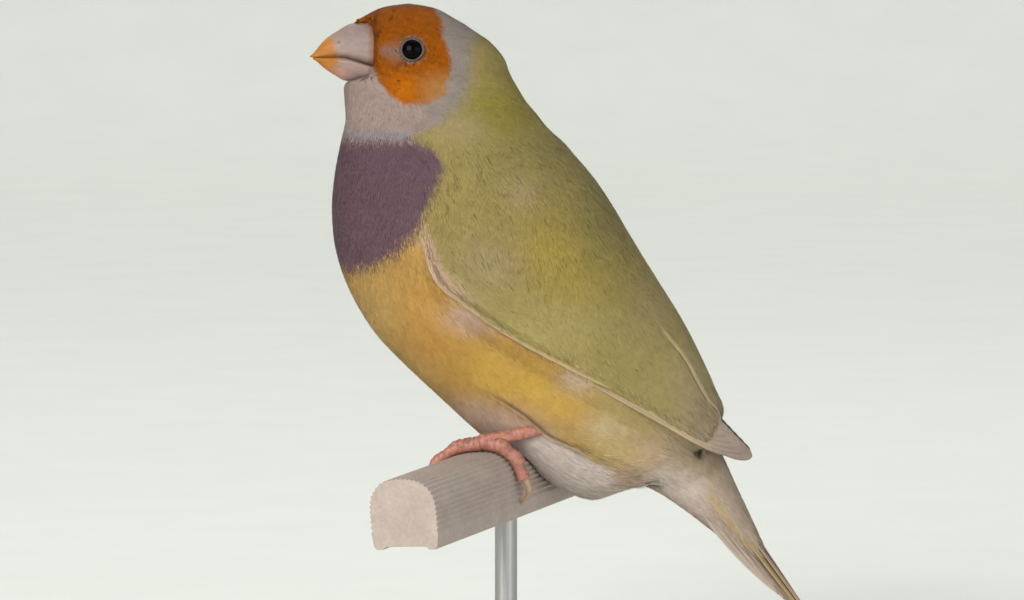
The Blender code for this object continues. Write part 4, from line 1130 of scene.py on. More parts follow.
def side_place(x, z, outer, start):
    """Station and share of the half depth, from the middle to the back, of side-view points."""
    def above(place):
        middle, half, _ = section(place, outer)
        return half[..., 0] * (z_all - middle[..., 1]) - half[..., 1] * (x_all - middle[..., 0])

    grid = np.arange(start, LAST + 1e-6, 0.25)
    x_all = x[:, None]
    z_all = z[:, None]
    values = above(grid[None, :])
    crosses = (values[:, :-1] < 0) & (values[:, 1:] >= 0)
    found = crosses.any(axis=1)
    low = np.where(found, grid[np.argmax(crosses, axis=1)], LAST - 1e-6)
    high = np.where(found, low + 0.25, LAST)
    x_all = x
    z_all = z
    for _ in range(16):
        middle_place = (low + high) / 2
        under = above(middle_place) < 0
        low = np.where(under & found, middle_place, low)
        high = np.where(~under & found, middle_place, high)
    middle, half, _ = section(low, outer)
    share = (x - middle[:, 0]) * half[:, 0] + (z - middle[:, 1]) * half[:, 1]
    return low, share / (half ** 2).sum(axis=1)


def side_angle(place, share):
    """Angle from the back line at which a section reaches a share of its half depth."""
    share = np.clip(share, -1.0, 1.0)
    front = -np.abs(share) ** (1 / front_power(place))
    return np.arccos(np.where(share >= 0, share, front))


def near_eye(point):
    """Distance in millimetres from the axis of the nearer eye."""
    far = np.full(point.shape[0], 1e9)
    for _, spot, normal in eye_spots():
        rel = point - np.array(spot[:])
        along = rel @ np.array(normal[:])
        off = np.linalg.norm(rel - along[:, None] * np.array(normal[:]), axis=1)
        far = np.minimum(far, np.where(np.abs(along) < 3.0, off, 1e9))
    return far


def in_bill(point):
    """True for points that the bill covers."""
    x, y, z = point[:, 0], point[:, 1], point[:, 2]
    top = curve_at(CULMEN, x)
    low = curve_at(BILL_UNDERSIDE, x)
    width = BILL_TIP_HALF_WIDTH + bill_spread(x)
    middle = (top + low) / 2
    flat = np.abs(z - middle) / ((top - low) / 2 + 0.05)
    return (x < BILL_BACK_X + 0.4) & (flat ** 2 + (y / (width + 0.05)) ** 2 < 1.0)


# Length and width of the tufts from the crown down, in millimetres
LENGTH_STATIONS = (0.0, 4.0, 8.0, 11.0, 13.0, 18.0, 26.0)
LENGTHS = (1.5, 1.8, 2.8, 4.2, 4.7, 5.0, 5.4)
WIDTHS = (0.68, 0.70, 0.76, 0.84, 0.88, 0.90, 0.90)

EYE_OPENING = 2.12

# Starts of the random draws, counted on from the seed
PLUME_SEED = 20
WING_SEED = 40
TAIL_SEED = 60
LEG_SEED = 80

COATS = (
    # name, first and last station, share of density, strips, slot
    ("coat_head", 0.12, 5.0, 2.4, 5, "plumage_head"),
    ("coat_cheek", 5.0, 8.0, 2.1, 5, "plumage_head"),
    ("coat_neck", 8.0, 10.6, 1.5, 6, "plumage_neck"),
    ("coat_breast", 10.6, 12.7, 1.1, 7, "plumage_body"),
    ("coat_keel", 12.7, 14.0, 1.0, 7, "plumage_body"),
    ("coat_belly", 14.0, 15.3, 1.0, 7, "plumage_body"),
    ("coat_flank", 15.3, 16.7, 1.0, 7, "plumage_body"),
    ("coat_loin", 16.7, 18.4, 1.0, 7, "plumage_body"),
    ("coat_vent", 18.4, 21.4, 1.0, 7, "plumage_rump"),
    ("coat_rump", 21.4, 26.8, 1.3, 7, "plumage_rump"),
)


# Long loose plumes over the small plumage
PLUMES = (
    # name, first and last station, share of density, strips, length, width, rise, contrast, slot
    ("coat_mantle_plumes", 9.6, 14.2, 0.12, 2, 7.4, 0.30, 0.06, 0.34, "plumage_body"),
    ("coat_wing_plumes", 14.2, 17.5, 0.05, 2, 6.0, 0.28, 0.05, 0.24, "plumage_wing"),
    ("coat_rump_cover", 19.0, 22.0, 0.35, 6, 6.4, 0.75, 0.32, 0.05, "plumage_rump"),
    ("coat_vent_fluff", 17.8, 21.6, 0.55, 5, 7.2, 0.62, 0.30, 0.10, "plumage_rump"),
)


def coat_growth(place, point, lobes, rng):
    """Length, width, lift and looseness of tufts, which are short and narrow at the bill and the eye."""
    count = len(place)
    near = smooth((near_eye(point) - 2.2) / 3.0)
    face = smooth((9.5 - place) / 3.0) * smooth((-13.0 - point[:, 0]) / 8.0)
    long = np.interp(place, LENGTH_STATIONS, LENGTHS) * rng.uniform(0.85, 1.15, count)
    wide = np.interp(place, LENGTH_STATIONS, WIDTHS) * lobes / 7
    lift = rng.normal(0.0, 0.03, count) - 0.02
    ragged = 0.22 + 0.50 * smooth((place - 8) / 3)
    return (long * (1 - 0.35 * face) * (0.5 + 0.5 * near), wide * (0.7 + 0.3 * near) * (1 - 0.2 * face),
            lift, ragged)


def coat_share(place, point):
    """Share of the tufts that is kept: fewer where long feathers cover the wing, and along the tail."""
    u, height = above_edge(point[:, 0], point[:, 2])
    on_wing = (height > 0.2) & (place > 12) & (u < 68)
    beside = smooth((np.abs(point[:, 1]) - 2.4) / 1.4)
    thin = np.where(on_wing, 1 - beside * smooth((u - covert_end(height) + 6.0) / 7.0), 1.0)
    return thin * (1 - smooth((place - 24.6) / 2.2) * 0.85)


def coat_spots(place, point):
    """True where a tuft may stand: not in the bill or the eye, nor on the crown's very top."""
    crown_top = (place < 0.9) & (np.abs(point[:, 1]) < 0.3)
    return ~in_bill(point) & (near_eye(point) > EYE_OPENING) & ~crown_top


def plume_spots(name, place, angle, point, rng):
    """True where a plume of one kind may stand."""
    if name == "coat_vent_fluff":
        inside = edge_distance(FLUFF_OUTLINE, point[:, 0] + 2.0, point[:, 2] - 1.0) > -1.0
        return inside & (np.cos(angle) < -0.2)
    if name == "coat_rump_cover":
        return (np.abs(np.sin(angle)) > 0.45) & (point[:, 0] > 26.0) & (point[:, 0] < 37.0)
    return (upper_share(point, place, angle) > 0.9) & (rng.random(len(place)) < 0.9)


def make_coats():
    """The small plumage in lengths from the crown to the tail coverts, with plumes over it."""
    density = settings().density * 1.0
    for row, (name, first, last, share, lobes, slot) in enumerate(COATS):
        area, probe = probed(first, last)
        peak = np.percentile(probe, 99.5)
        count = int(density * share * area * peak / probe.mean())
        place, angle, size, rng = scatter(count, first, last, settings().seed + row)
        point = shell(place, angle)
        keep = rng.random(count) < size / peak * coat_share(place, point)
        keep &= coat_spots(place, point)
        place, angle, point = place[keep], angle[keep], point[keep]
        long, wide, lift, ragged = coat_growth(place, point, lobes, rng)
        thing = tufts(name, place, angle, long, wide, lobes, rng, lift, ragged)
        hang(thing, plumage_material(), slot)
    for row, (name, first, last, rate, lobes, length, width, raised, contrast, slot) in enumerate(PLUMES):
        count = int(rate * density * probed(first, last)[0])
        place, angle, _, rng = scatter(count, first, last, settings().seed + PLUME_SEED + row)
        keep = plume_spots(name, place, angle, shell(place, angle), rng)
        count = int(keep.sum())
        long = length * rng.uniform(0.7, 1.2, count)
        lift = rng.normal(raised, 0.04, count)
        thing = tufts(name, place[keep], angle[keep], long, np.full(count, width), lobes, rng, lift,
                      np.full(count, 0.4), contrast)
        hang(thing, plumage_material(), slot)


# Flight and tail feathers

def blade(rows, columns):
    """Triangles of a closed blade of rows of points, upper side first and then lower."""
    faces = []
    ring = columns * 2
    for row in range(rows - 1):
        here = row * ring
        for side in range(ring):
            nxt = (side + 1) % ring
            faces.append((here + side, here + ring + side, here + nxt))
            faces.append((here + nxt, here + ring + side, here + ring + nxt))
    for end, flip in ((0, False), ((rows - 1) * ring, True)):
        for side in range(columns - 1):
            a, b = end + side, end + side + 1
            c, d = end + ring - 1 - side, end + ring - 2 - side
            cap = ((a, b, d), (a, d, c)) if not flip else ((a, d, b), (a, c, d))
            faces += list(cap)
    return np.array(faces)


def wing_points(u, v, depth, side):
    """Points of the folded wing's outside, at a depth below it and clear of the body."""
    x, z = wing_place(u, v)
    place, share = side_place(x, z, True, WING_FIRST - 2.0)
    share = np.clip(share, -0.97, 0.997)
    angle = side * np.arccos(share)
    point, _, _, normal, _ = slopes(lambda p, a: body(p, a, True), place, angle)
    low = point - normal * depth[:, None]
    inner, inner_share = side_place(low[:, 0], low[:, 2], False, WING_FIRST - 2.0)
    middle, half, width = section(inner)
    reach = np.hypot(inner_share, low[:, 1] / width)
    clear = 1.0 + 0.45 / np.minimum(width, np.linalg.norm(half, axis=1))
    push = np.where(reach < clear, clear / reach - 1.0, 0.0)
    centre = np.stack((middle[:, 0], np.zeros(len(x)), middle[:, 1]), axis=1)
    low = low + (low - centre) * push[:, None]
    low[:, 1] = np.where(low[:, 1] * side < 0.6, side * 0.6, low[:, 1])
    return low, normal


FEATHER_ROWS = 26
FEATHER_COLUMNS = 9
FEATHER_GRID = (FEATHER_ROWS, FEATHER_COLUMNS)


def feather_shape(width, point_share):
    """Parts along a feather, and its half width at each, with a rounded tip."""
    part = 1 - (1 - np.linspace(0, 1, FEATHER_ROWS)) ** 1.6
    spread = width / 2 * (0.35 + 0.65 * smooth(part / 0.3))
    fade = np.clip((part - point_share) / (1 - point_share), 0, 1)
    spread = spread * np.sqrt(1 - fade ** 2) * (1 - 0.1 * fade)
    return part, np.maximum(spread, 0.1)


def wing_feather(path, width, depths, side, tilt, point_share):
    """One feather along a path in the wing's axes: both sides, places along and across it, and barbs."""
    part, spread = feather_shape(width, point_share)
    line = spline(np.array(path, float), part * (len(path) - 1))
    ahead = unit(np.gradient(line, axis=0))
    across = np.stack((-ahead[:, 1], ahead[:, 0]), axis=1)
    share = np.linspace(-1, 1, FEATHER_COLUMNS)
    grid_part, grid_share = np.meshgrid(part, share, indexing="ij")
    off = grid_share * spread[:, None]
    u = line[:, None, 0] + across[:, None, 0] * off
    v = line[:, None, 1] + across[:, None, 1] * off
    depth = depths[0] + (depths[1] - depths[0]) * np.minimum(1.0, grid_part / 0.45)
    depth = depth + tilt * grid_share + 0.08 * grid_share ** 2
    shaft = np.exp(-(grid_share * 6) ** 2) * 0.05
    top, normal = wing_points(u.ravel(), v.ravel(), (depth - shaft).ravel(), side)
    thick = (0.14 - 0.08 * np.abs(grid_share)).ravel()
    bottom = top - normal * thick[:, None]
    barb = run_lengths(line)[:, None] - np.abs(off) * 0.9
    return (top, bottom, grid_part, grid_share, barb), u, v


def both_sides(upper, lower):
    """Values of a blade's upper side, then of its lower side from the other edge back."""
    return np.concatenate((upper, lower[:, ::-1]), axis=1)


def join_feathers(name, feathers, colours):
    """One mesh of many blades, each with its own cell of the flat map."""
    shape = blade(*FEATHER_GRID)
    per = FEATHER_ROWS * FEATHER_COLUMNS * 2
    across = math.ceil(math.sqrt(len(feathers) / 4))
    cells = math.ceil(len(feathers) / across)
    points, faces, tints, barbs, maps = [], [], [], [], []
    for number, (top, bottom, part, share, barb) in enumerate(feathers):
        solid = both_sides(top.reshape(*FEATHER_GRID, 3), bottom.reshape(*FEATHER_GRID, 3)).reshape(-1, 3)
        points.append(solid)
        faces.append(turned_out(solid - solid.mean(axis=0), shape) + number * per)
        tint = colours[number].reshape(*FEATHER_GRID, 4)
        tints.append(both_sides(tint, tint).reshape(-1, 4))
        barbs.append(both_sides(barb, barb).ravel())
        spot_u = both_sides(part, part)
        spot_v = both_sides((share + 1) / 4, (3 - share) / 4)
        maps.append(np.stack((
            (number % across + 0.03 + 0.94 * spot_u) / across,
            (number // across + 0.05 + 0.9 * spot_v) / cells), axis=-1).reshape(-1, 2))
    faces = np.vstack(faces)
    thing = place_mesh(name, np.vstack(points), faces)
    set_values(thing, "plumage", np.vstack(tints))
    set_values(thing, "barb", np.concatenate(barbs), "FLOAT")
    set_map(thing, np.vstack(maps)[faces])
    return thing


def edge_path(start, length, offset):
    """Path beside the leading edge, from a distance along it, at an offset above it."""
    edge = np.array(LEADING_EDGE)
    u = np.interp(np.linspace(start, start + length, 7), run_lengths(edge), edge[:, 0])
    v = curve_at(LEADING_EDGE, u)
    ahead = unit(np.stack((np.gradient(u), np.gradient(v)), axis=1))
    return np.stack((u - ahead[:, 1] * offset, v + ahead[:, 0] * offset), axis=1)


# Inner wing feathers, as paths in the wing's axes with a width, a depth and a kind
INNER_FEATHERS = (
    ("secondary", ((22, 0.2), (34, 0.3), (46, 0.0), (54, -0.4), (58.0, -0.8)), 4.4, 0.62),
    ("secondary", ((22, 2.2), (34, 2.4), (46, 1.8), (54, 0.5), (58.8, -0.2)), 4.8, 0.54),
    ("secondary", ((22, 4.4), (34, 4.8), (46, 3.8), (54, 1.5), (59.8, 0.2)), 5.0, 0.46),
    ("tertial", ((22, 7.2), (33, 7.6), (43, 6.2), (51, 3.6), (57, 1.6), (60.8, 0.8)), 5.4, 0.38),
    ("tertial", ((22, 10.6), (32, 10.6), (41, 8.8), (49, 5.4), (56, 2.3), (61.2, 1.1)), 5.2, 0.24),
    ("hem", ((34, 13.2), (41.5, 10.7), (45.4, 9.1), (50, 7.3), (54, 5.0), (57, 3.4), (60.0, 2.3)),
     0.66, -0.2),
    ("dorsal", ((22, 20.4), (32, 15.9), (40, 12.3), (48, 8.3), (55, 4.8), (60.4, 2.6)), 4.2, 0.42),
)


def wing_colour(u, v, part, share, kind, rng):
    """Colour and tone over one wing feather."""
    x, z = wing_place(u, v)
    tint = upper_colour(x, z)
    tip = smooth((u - 52.0) / 12.0)
    if kind == "primary":
        tint = paint(tint, "quill", np.full(u.shape, 0.9))
        tint = paint(tint, "quill_tip", smooth((u - 55.0) / 10.0))
        tint = paint(tint, "wing_edge", smooth((-share - 0.6) / 0.3) * 0.5 * (1 - tip))
    elif kind == "edge":
        tint = paint(tint, "wing_edge", 0.8 * (1 - smooth((share + 0.75) / 0.6)))
    elif kind == "dorsal":
        tint = paint(tint, "olive_dusky", np.full(u.shape, 0.8))
        tint = paint(tint, "quill_tip", tip * 0.5)
    else:
        tint = paint(tint, "quill_tip", tip * 0.3)
        if kind == "hem":
            tint = paint(tint, "tertial_edge", np.full(u.shape, 0.6))
        if kind == "tertial":
            tint = paint(tint, "tertial_edge", smooth((share - 0.62) / 0.25) * 0.9)
    tone = rng.uniform(0.95, 0.99) * (0.97 + 0.03 * np.cos(share * 2.2))
    shaft = np.exp(-(share * 9) ** 2)
    tone = tone * (1 - 0.05 * shaft) * (0.92 + 0.08 * smooth(part / 0.5))
    lower = smooth((-share - 0.8) / 0.2) * (1 - 0.7 * tip)
    tone = tone * (1 - 0.10 * lower)
    return np.concatenate((tint, tone[..., None]), axis=-1)


def make_wings():
    """Edge coverts, primaries and inner feathers of both folded wings."""
    for side, word in SIDES:
        rng = np.random.default_rng(settings().seed + WING_SEED)
        rows = []
        for number in range(8):
            width = 2.0 - 0.10 * number
            path = edge_path(4.0 * number + 1.5, 13.0 + 0.5 * number, width / 2 - 0.25)
            rows.append(("edge", path, width, (2.4, 0.34 - 0.02 * number), 0.10, 0.5))
        for number in range(8):
            tip_u = WING_LENGTH - 1.5 * number
            low = -2.9 + 0.42 * number
            path = ((17.0 + 0.8 * number, low - 0.4), (34.0, low - 0.3), (50.0, low + 0.3),
                    (tip_u - 7.0, low + 1.0), (tip_u, -0.7 + 0.34 * number))
            rows.append(("primary", path, 3.9, (1.6, 0.74 - 0.04 * number), 0.06, 0.76))
        for kind, path, width, depth in INNER_FEATHERS:
            rows.append((kind, path, width, (depth + 0.5, depth), 0.05, 0.70))
        feathers = []
        colours = []
        for kind, path, width, depth, tilt, point_share in rows:
            made, u, v = wing_feather(path, width, depth, side, tilt, point_share)
            feathers.append(made)
            colours.append(wing_colour(u, v, made[2], made[3], kind, rng))
        thing = join_feathers("flight_feathers_" + word, feathers, colours)
        hang(thing, vane_material(), "plumage_wing", "wing_" + word)


TAIL_PAIRS = 6


def tail_feather(pair, side):
    """One tail feather, the middle pair longest and drawn out to a fine point."""
    middle = pair == 0
    share_out = pair / (TAIL_PAIRS - 1)
    length = 1.0 if middle else 0.83 - 0.045 * pair
    root = np.array((TAIL_ROOT[0] - 0.8 * pair, side * (0.5 + 0.52 * pair), TAIL_ROOT[1] - 0.3 * pair))
    tip = np.array((
        TAIL_ROOT[0] + (TAIL_TIP[0] - TAIL_ROOT[0]) * length - 1.3 * share_out,
        side * (0.57 + 0.62 * pair),
        TAIL_ROOT[1] + (TAIL_TIP[1] - TAIL_ROOT[1]) * length - 1.6 * share_out))
    out = np.array((0.0, side, 0.0))
    up = unit(np.cross(unit(tip - root), out))
    up = up if up[2] > 0 else -up
    tilt = math.radians(14 + 9 * pair)
    across = out * math.cos(tilt) - up * math.sin(tilt)
    over = out * math.sin(tilt) + up * math.cos(tilt)
    part = np.linspace(0, 1, FEATHER_ROWS) ** 0.8
    fade = np.clip((part - 0.45) / 0.55, 0, 1)
    spread = (1.7 if middle else 1.9) * (0.6 + 0.4 * np.minimum(1.0, part / 0.35))
    spread = np.maximum(spread * (1 - fade ** (1.7 * (0.55 if middle else 1.0))) ** 0.8, 0.1)
    grid_part, grid_share = np.meshgrid(part, np.linspace(-1, 1, FEATHER_COLUMNS), indexing="ij")
    off = grid_share * spread[:, None]
    shaft = np.exp(-(grid_share * 6) ** 2) * 0.08
    sink = -0.14 * pair - 0.12 * grid_share ** 2 + shaft
    top = root + (tip - root) * grid_part[..., None] + across * off[..., None] + over * sink[..., None]
    thick = 0.17 - 0.10 * np.abs(grid_share)
    barb = np.linalg.norm(tip - root) * grid_part - np.abs(off) * 1.1
    return top, top - over * thick[..., None], grid_part, grid_share, barb


def tail_colour(top, part, share, rng):
    """Colour and tone over one tail feather."""
    tint = paint(filled("tail", part.shape), "vent", 0.35 * smooth(np.abs(share) - 0.4))
    yellow, dark = shaft_line(top[..., 0], top[..., 2])
    tint = paint(tint, "shaft_yellow", yellow * 0.8) * (1 - 0.4 * dark)[..., None]
    tone = rng.uniform(0.93, 1.05) * (1 - 0.2 * np.exp(-(share * 9) ** 2)) * (0.87 + 0.05 * part)
    return np.concatenate((tint, tone[..., None]), axis=-1)


def make_tail():
    """Pairs of tail feathers, the outer ones lower and more tilted."""
    rng = np.random.default_rng(settings().seed + TAIL_SEED)
    feathers = [tail_feather(pair, side) for pair in range(TAIL_PAIRS) for side, _ in SIDES]
    colours = [tail_colour(top, part, share, rng) for top, _, part, share, _ in feathers]
    hang(join_feathers("tail_feathers", feathers, colours), vane_material(), "plumage_tail", "tail")


# Bill and eyes

def mouth_shadow(tree, split, tone, x, z, rise):
    """Soft brown line along one straight run of the mouth."""
    line = maths(tree, "MULTIPLY_ADD", split["X"], -rise, x * rise - z)
    size = maths(tree, "ABSOLUTE", maths(tree, "ADD", split["Z"], line))
    near = band(tree, size, 0.00010, 0.00042, 0.5, 0.0)
    back = node(tree, "MapRange", in_Value=split["X"], in_From_Min=x, in_From_Max=x + 0.0006).outputs[0]
    return mixed(tree, maths(tree, "MULTIPLY", near, back), tone, shade(112, 74, 56))


def centred_noise(tree, where, scale, detail, size):
    """Noise around zero, as wide as the size."""
    noise = node(tree, "TexNoise", in_Vector=where, in_Scale=scale, in_Detail=detail).outputs["Fac"]
    return maths(tree, "MULTIPLY_ADD", noise, size, -size / 2)


def bill_material():
    """Pinkish horn: mottled orange tip, rose patch, dusky ridge and brown base, with painted shade along
    the mouth line and in the nostril.
    """
    material, tree, shader = new_material(
        "bill_horn", 0.5, 0.3, Subsurface_Weight=0.15, Subsurface_Radius=(0.002, 0.001, 0.0006))
    where = node(tree, "TexCoord").outputs["Object"]
    split = node(tree, "SeparateXYZ", in_0=where).outputs
    flecks = maths(tree, "ADD", centred_noise(tree, where, 420.0, 3.0, 0.0042),
                   centred_noise(tree, where, 1500.0, 2.0, 0.0030))
    away = maths(tree, "ABSOLUTE", maths(tree, "SUBTRACT", split["Z"], 0.1093))
    along = maths(tree, "ADD", maths(tree, "MULTIPLY_ADD", away, 0.65, split["X"]), flecks)
    tip = band(tree, along, -0.0303, -0.0281, 1.0, 0.0)
    tone = mixed(tree, tip, settings().bill[:], settings().bill_tip[:])
    rose = maths(tree, "MULTIPLY", band(tree, along, -0.0284, -0.0258, 0.35, 0.0),
                 band(tree, split["Z"], 0.1062, 0.1078, 1.0, 0.0))
    tone = mixed(tree, rose, tone, shade(196, 112, 84))
    slope = maths(tree, "SUBTRACT", split["Z"], maths(tree, "MULTIPLY", split["X"], -0.80))
    dusk = maths(tree, "MULTIPLY", band(tree, slope, 0.0868, 0.0898, 0.0, 0.5),
                 band(tree, split["X"], -0.0345, -0.0310, 0.0, 1.0))
    tone = mixed(tree, dusk, tone, shade(120, 104, 98))
    root = band(tree, split["X"], -0.0247, -0.0239, 0.0, 0.75)
    tone = mixed(tree, root, tone, shade(120, 80, 56))
    for (x0, z0), (x1, z1) in zip(MOUTH_LINE[2:-1], MOUTH_LINE[3:]):
        tone = mouth_shadow(tree, split, tone, x0 * MM, z0 * MM, (z1 - z0) / (x1 - x0))
    # Dark spot at the nostril: painted shade of its opening
    flat = node(tree, "VectorMath", operation="MULTIPLY", in_0=where, in_1=(1.0, 0.0, NOSTRIL_FLATNESS))
    far = node(tree, "VectorMath", operation="DISTANCE", in_0=flat.outputs[0],
               in_1=(NOSTRIL[0] * MM, 0.0, NOSTRIL_FLATNESS * NOSTRIL[1] * MM)).outputs["Value"]
    tone = mixed(tree, band(tree, far, 0.00015, 0.00050, 0.6, 0.0), tone, shade(92, 66, 58))
    grain_finish(tree, shader, tone, 520.0, 0.12, 0.3, 0.00012, (1.0, 1.0, 2.0))
    return material


def tube_faces(rows, columns):
    """Triangles of a tube of rings of points, which two more points after them close at its ends."""
    faces = []
    for row in range(rows - 1):
        for side in range(columns):
            a, b = row * columns + side, row * columns + (side + 1) % columns
            faces += [(a, b, b + columns), (a, b + columns, a + columns)]
    first = rows * columns
    end = (rows - 1) * columns
    for side in range(columns):
        nxt = (side + 1) % columns
        faces += [(first, nxt, side), (first + 1, end + side, end + nxt)]
    return faces


def make_bill():
    """Both halves of the bill, with a soft ridge and a fine gap along the mouth."""
    material = bill_material()
    rows = 48
    columns = 40
    for upper, word in ((True, "upper"), (False, "lower")):
        edge = CULMEN if upper else BILL_UNDERSIDE
        sign = 1 if upper else -1
        tip_x = edge[0][0]
        points = []
        for row in range(rows):
            part = (row / (rows - 1)) ** 1.4
            x = tip_x + (BILL_BACK_X - tip_x) * part
            width = BILL_TIP_HALF_WIDTH * min(1.0, 0.4 + part * 14) + float(bill_spread(x))
            width *= 1.0 if upper else LOWER_BILL_SHARE
            seam = float(curve_at(MOUTH_LINE, x)) + sign * MOUTH_GAP / 2
            rim = float(curve_at(edge, x))
            if abs(rim - seam) < BILL_LEAST_DEPTH:
                rim = seam + sign * BILL_LEAST_DEPTH
            for column in range(columns):
                turn = 2 * math.pi * column / columns
                lift = math.sin(turn)
                if lift >= 0:
                    z = seam + (rim - seam) * lift ** BILL_ROUNDNESS
                    y = -width * math.cos(turn)
                else:
                    z = seam + (rim - seam) * 0.10 * abs(lift) ** 0.5
                    y = -width * math.cos(turn) * (1 - 0.08 * abs(lift))
                points.append((x, y, z))
        points += [tuple(np.mean(points[:columns], axis=0)), tuple(np.mean(points[-columns:], axis=0))]
        points = np.array(points)
        faces = turned_out(points - points[-1], tube_faces(rows, columns))
        thing = place_mesh("bill_" + word + "_horn", points, faces)
        hang(thing, material, "bill", "bill_" + word)


def plain_material(name, tint, roughness, specular, scale, amount, *relief, **inputs):
    """One colour of the palette with fine grain, and the strength, depth and stretch of its relief."""
    material, tree, shader = new_material(name, roughness, specular, **inputs)
    grain_finish(tree, shader, getattr(settings(), tint)[:], scale, amount, *relief)
    return material


def dome(middle, normal, radius, rows, columns):
    """Points and faces of a whole ball with its pole along the normal."""
    normal = Vector(normal).normalized()
    across = normal.cross(Vector((0, 0, 1))).normalized()
    up = normal.cross(across)
    points = []
    for row in range(1, rows):
        polar = math.pi * row / rows
        for column in range(columns):
            turn = 2 * math.pi * column / columns
            out = across * math.cos(turn) + up * math.sin(turn)
            points.append(tuple(middle + (normal * math.cos(polar) + out * math.sin(polar)) * radius))
    points += [tuple(middle + normal * radius), tuple(middle - normal * radius)]
    points = np.array(points)
    return points, turned_out(points - points[-1], tube_faces(rows - 1, columns))


def make_eyes():
    """Glossy eyes at their real depth, each in a ring of beaded bare skin drawn out to two corners."""
    gloss = plain_material("eye_gloss", "eye", 0.12, 0.05, 600.0, 0.25)
    skin = plain_material("eye_ring_skin", "eye_ring", 0.65, 0.15, 1400.0, 0.2, 0.4, 0.00008)
    sunk = math.sqrt(EYE_RADIUS ** 2 - EYE_SHOWN_RADIUS ** 2)
    for word, spot, normal in eye_spots():
        points, faces = dome(spot - normal * sunk, normal, EYE_RADIUS, 40, 64)
        eye = place_mesh("eyeball_" + word, points, faces)
        hang(eye, gloss, "eye", "eye_" + word)
        across = normal.cross(Vector((0, 0, 1))).normalized()
        up = normal.cross(across)
        columns = 120
        rows = 14
        points = []
        for column in range(columns):
            turn = 2 * math.pi * column / columns
            out = across * math.cos(turn) + up * math.sin(turn)
            bead = EYE_RING_BEAD * abs(math.sin(turn * EYE_RING_BEADS / 2))
            corner = EYE_RING_CORNER * abs(math.cos(turn)) ** 12
            for row in range(rows):
                angle = 2 * math.pi * row / rows
                reach = EYE_RING_RADIUS + corner + (EYE_RING_HALF_WIDTH + corner + bead) * math.cos(angle)
                rise = (EYE_RING_HEIGHT + bead) * math.sin(angle) - EYE_RING_SINK
                points.append(tuple(spot + out * reach + normal * rise))
        faces = []
        for column in range(columns):
            nxt = (column + 1) % columns
            for row in range(rows):
                turn = (row + 1) % rows
                a, b = column * rows + row, nxt * rows + row
                c, d = nxt * rows + turn, column * rows + turn
                faces += [(a, b, c), (a, c, d)]
        points = np.array(points)
        lid = place_mesh("eye_ring_" + word, points, turned_out(points - points[0], faces))
        hang(lid, skin, "eye")


# Legs

def leg_material():
    material, tree, shader = new_material(
        "leg_skin_pink", 0.5, 0.4, Subsurface_Weight=0.12, Subsurface_Radius=(0.0015, 0.0006, 0.0004))
    grain_finish(tree, shader, painted(tree), 1300.0, 0.34, 0.35, 0.0001)
    return material


def resampled(path, radii, count):
    """Path and radii read at even steps along a smooth curve through them."""
    rows = np.hstack((np.array([tuple(point) for point in path]), np.array(radii)[:, None]))
    fine = spline(rows, np.linspace(0, len(rows) - 1, 400))
    far = run_lengths(fine[:, :3])
    even = np.linspace(0, far[-1], count)
    picked = np.stack([np.interp(even, far, fine[:, axis]) for axis in range(4)], axis=1)
    return picked[:, :3], picked[:, 3], even


def tube_rows(path):
    """Count of the rings of a tube along a path."""
    return max(8, int(sum((b - a).length for a, b in zip(path, path[1:])) * TUBE_ROWS_PER_MM))


def scaled_tube(path, radii, outward, pitch, depth, tint, rng, sides=20):
    """Tube with overlapping scutes on its outer side, as points, faces and colours, with painted shade in
    the grooves between the scutes.
    """
    count = tube_rows(path)
    spots, sizes, far = resampled(path, radii, count)
    outward = np.array(outward)
    points = []
    tones = []
    for row in range(count):
        ahead = spots[min(row + 1, count - 1)] - spots[max(row - 1, 0)]
        line = ahead / np.linalg.norm(ahead)
        face = outward[row] if outward.ndim == 2 else outward
        over = face - line * (face @ line)
        over = over / max(np.linalg.norm(over), 1e-6)
        side = np.cross(line, over)
        phase = (far[row] / pitch) % 1.0
        for step in range(sides):
            turn = 2 * math.pi * step / sides
            facing = max(0.0, math.cos(turn))
            scute = depth * (0.35 + 0.65 * facing) * ((1 - phase) - 0.6 * math.exp(-(phase * 9) ** 2))
            reach = sizes[row] + scute
            points.append(spots[row] + reach * (over * math.cos(turn) + side * math.sin(turn)))
            # Tone darker in the grooves between the scutes, most on the outer side: painted shade
            groove_shade = math.exp(-((phase - 0.02) * 10) ** 2) + math.exp(-((phase - 1.02) * 10) ** 2)
            tones.append(1.02 - 0.22 * groove_shade * (0.4 + 0.6 * facing) + rng.uniform(-0.03, 0.03))
    points = np.array(points)
    faces = tube_faces(count, sides)
    points = np.vstack((points, spots[0], spots[-1]))
    tones += [1.0, 1.0]
    rgba = np.hstack((np.tile(np.array(tint), (len(points), 1)), np.array(tones)[:, None]))
    return points, turned_out(points - points[0], faces), rgba


def toe_path(angles, alongs, radius):
    """Middle line of a toe over the perch, its radii, and the directions away from the perch."""
    path = []
    radii = []
    out = []
    steps = 14
    centre = Vector((0, 0, PERCH_HEIGHT_AT_ROD))
    axis = perch_axes()[2]
    for step in range(steps + 1):
        part = step / steps
        angle = angles[0] + (angles[1] - angles[0]) * part
        size = radius * (1.12 - 0.3 * part + 0.1 * math.cos(6 * math.pi * part))
        reach = float(perch_reach(angle)) + size + 0.12
        along = alongs[0] + (alongs[1] - alongs[0]) * part
        spot = perch_point(reach * math.sin(angle), reach * math.cos(angle), along)
        path.append(spot)
        radii.append(size)
        rel = spot - centre
        out.append((rel - axis * rel.dot(axis)).normalized())
    return path, radii, out


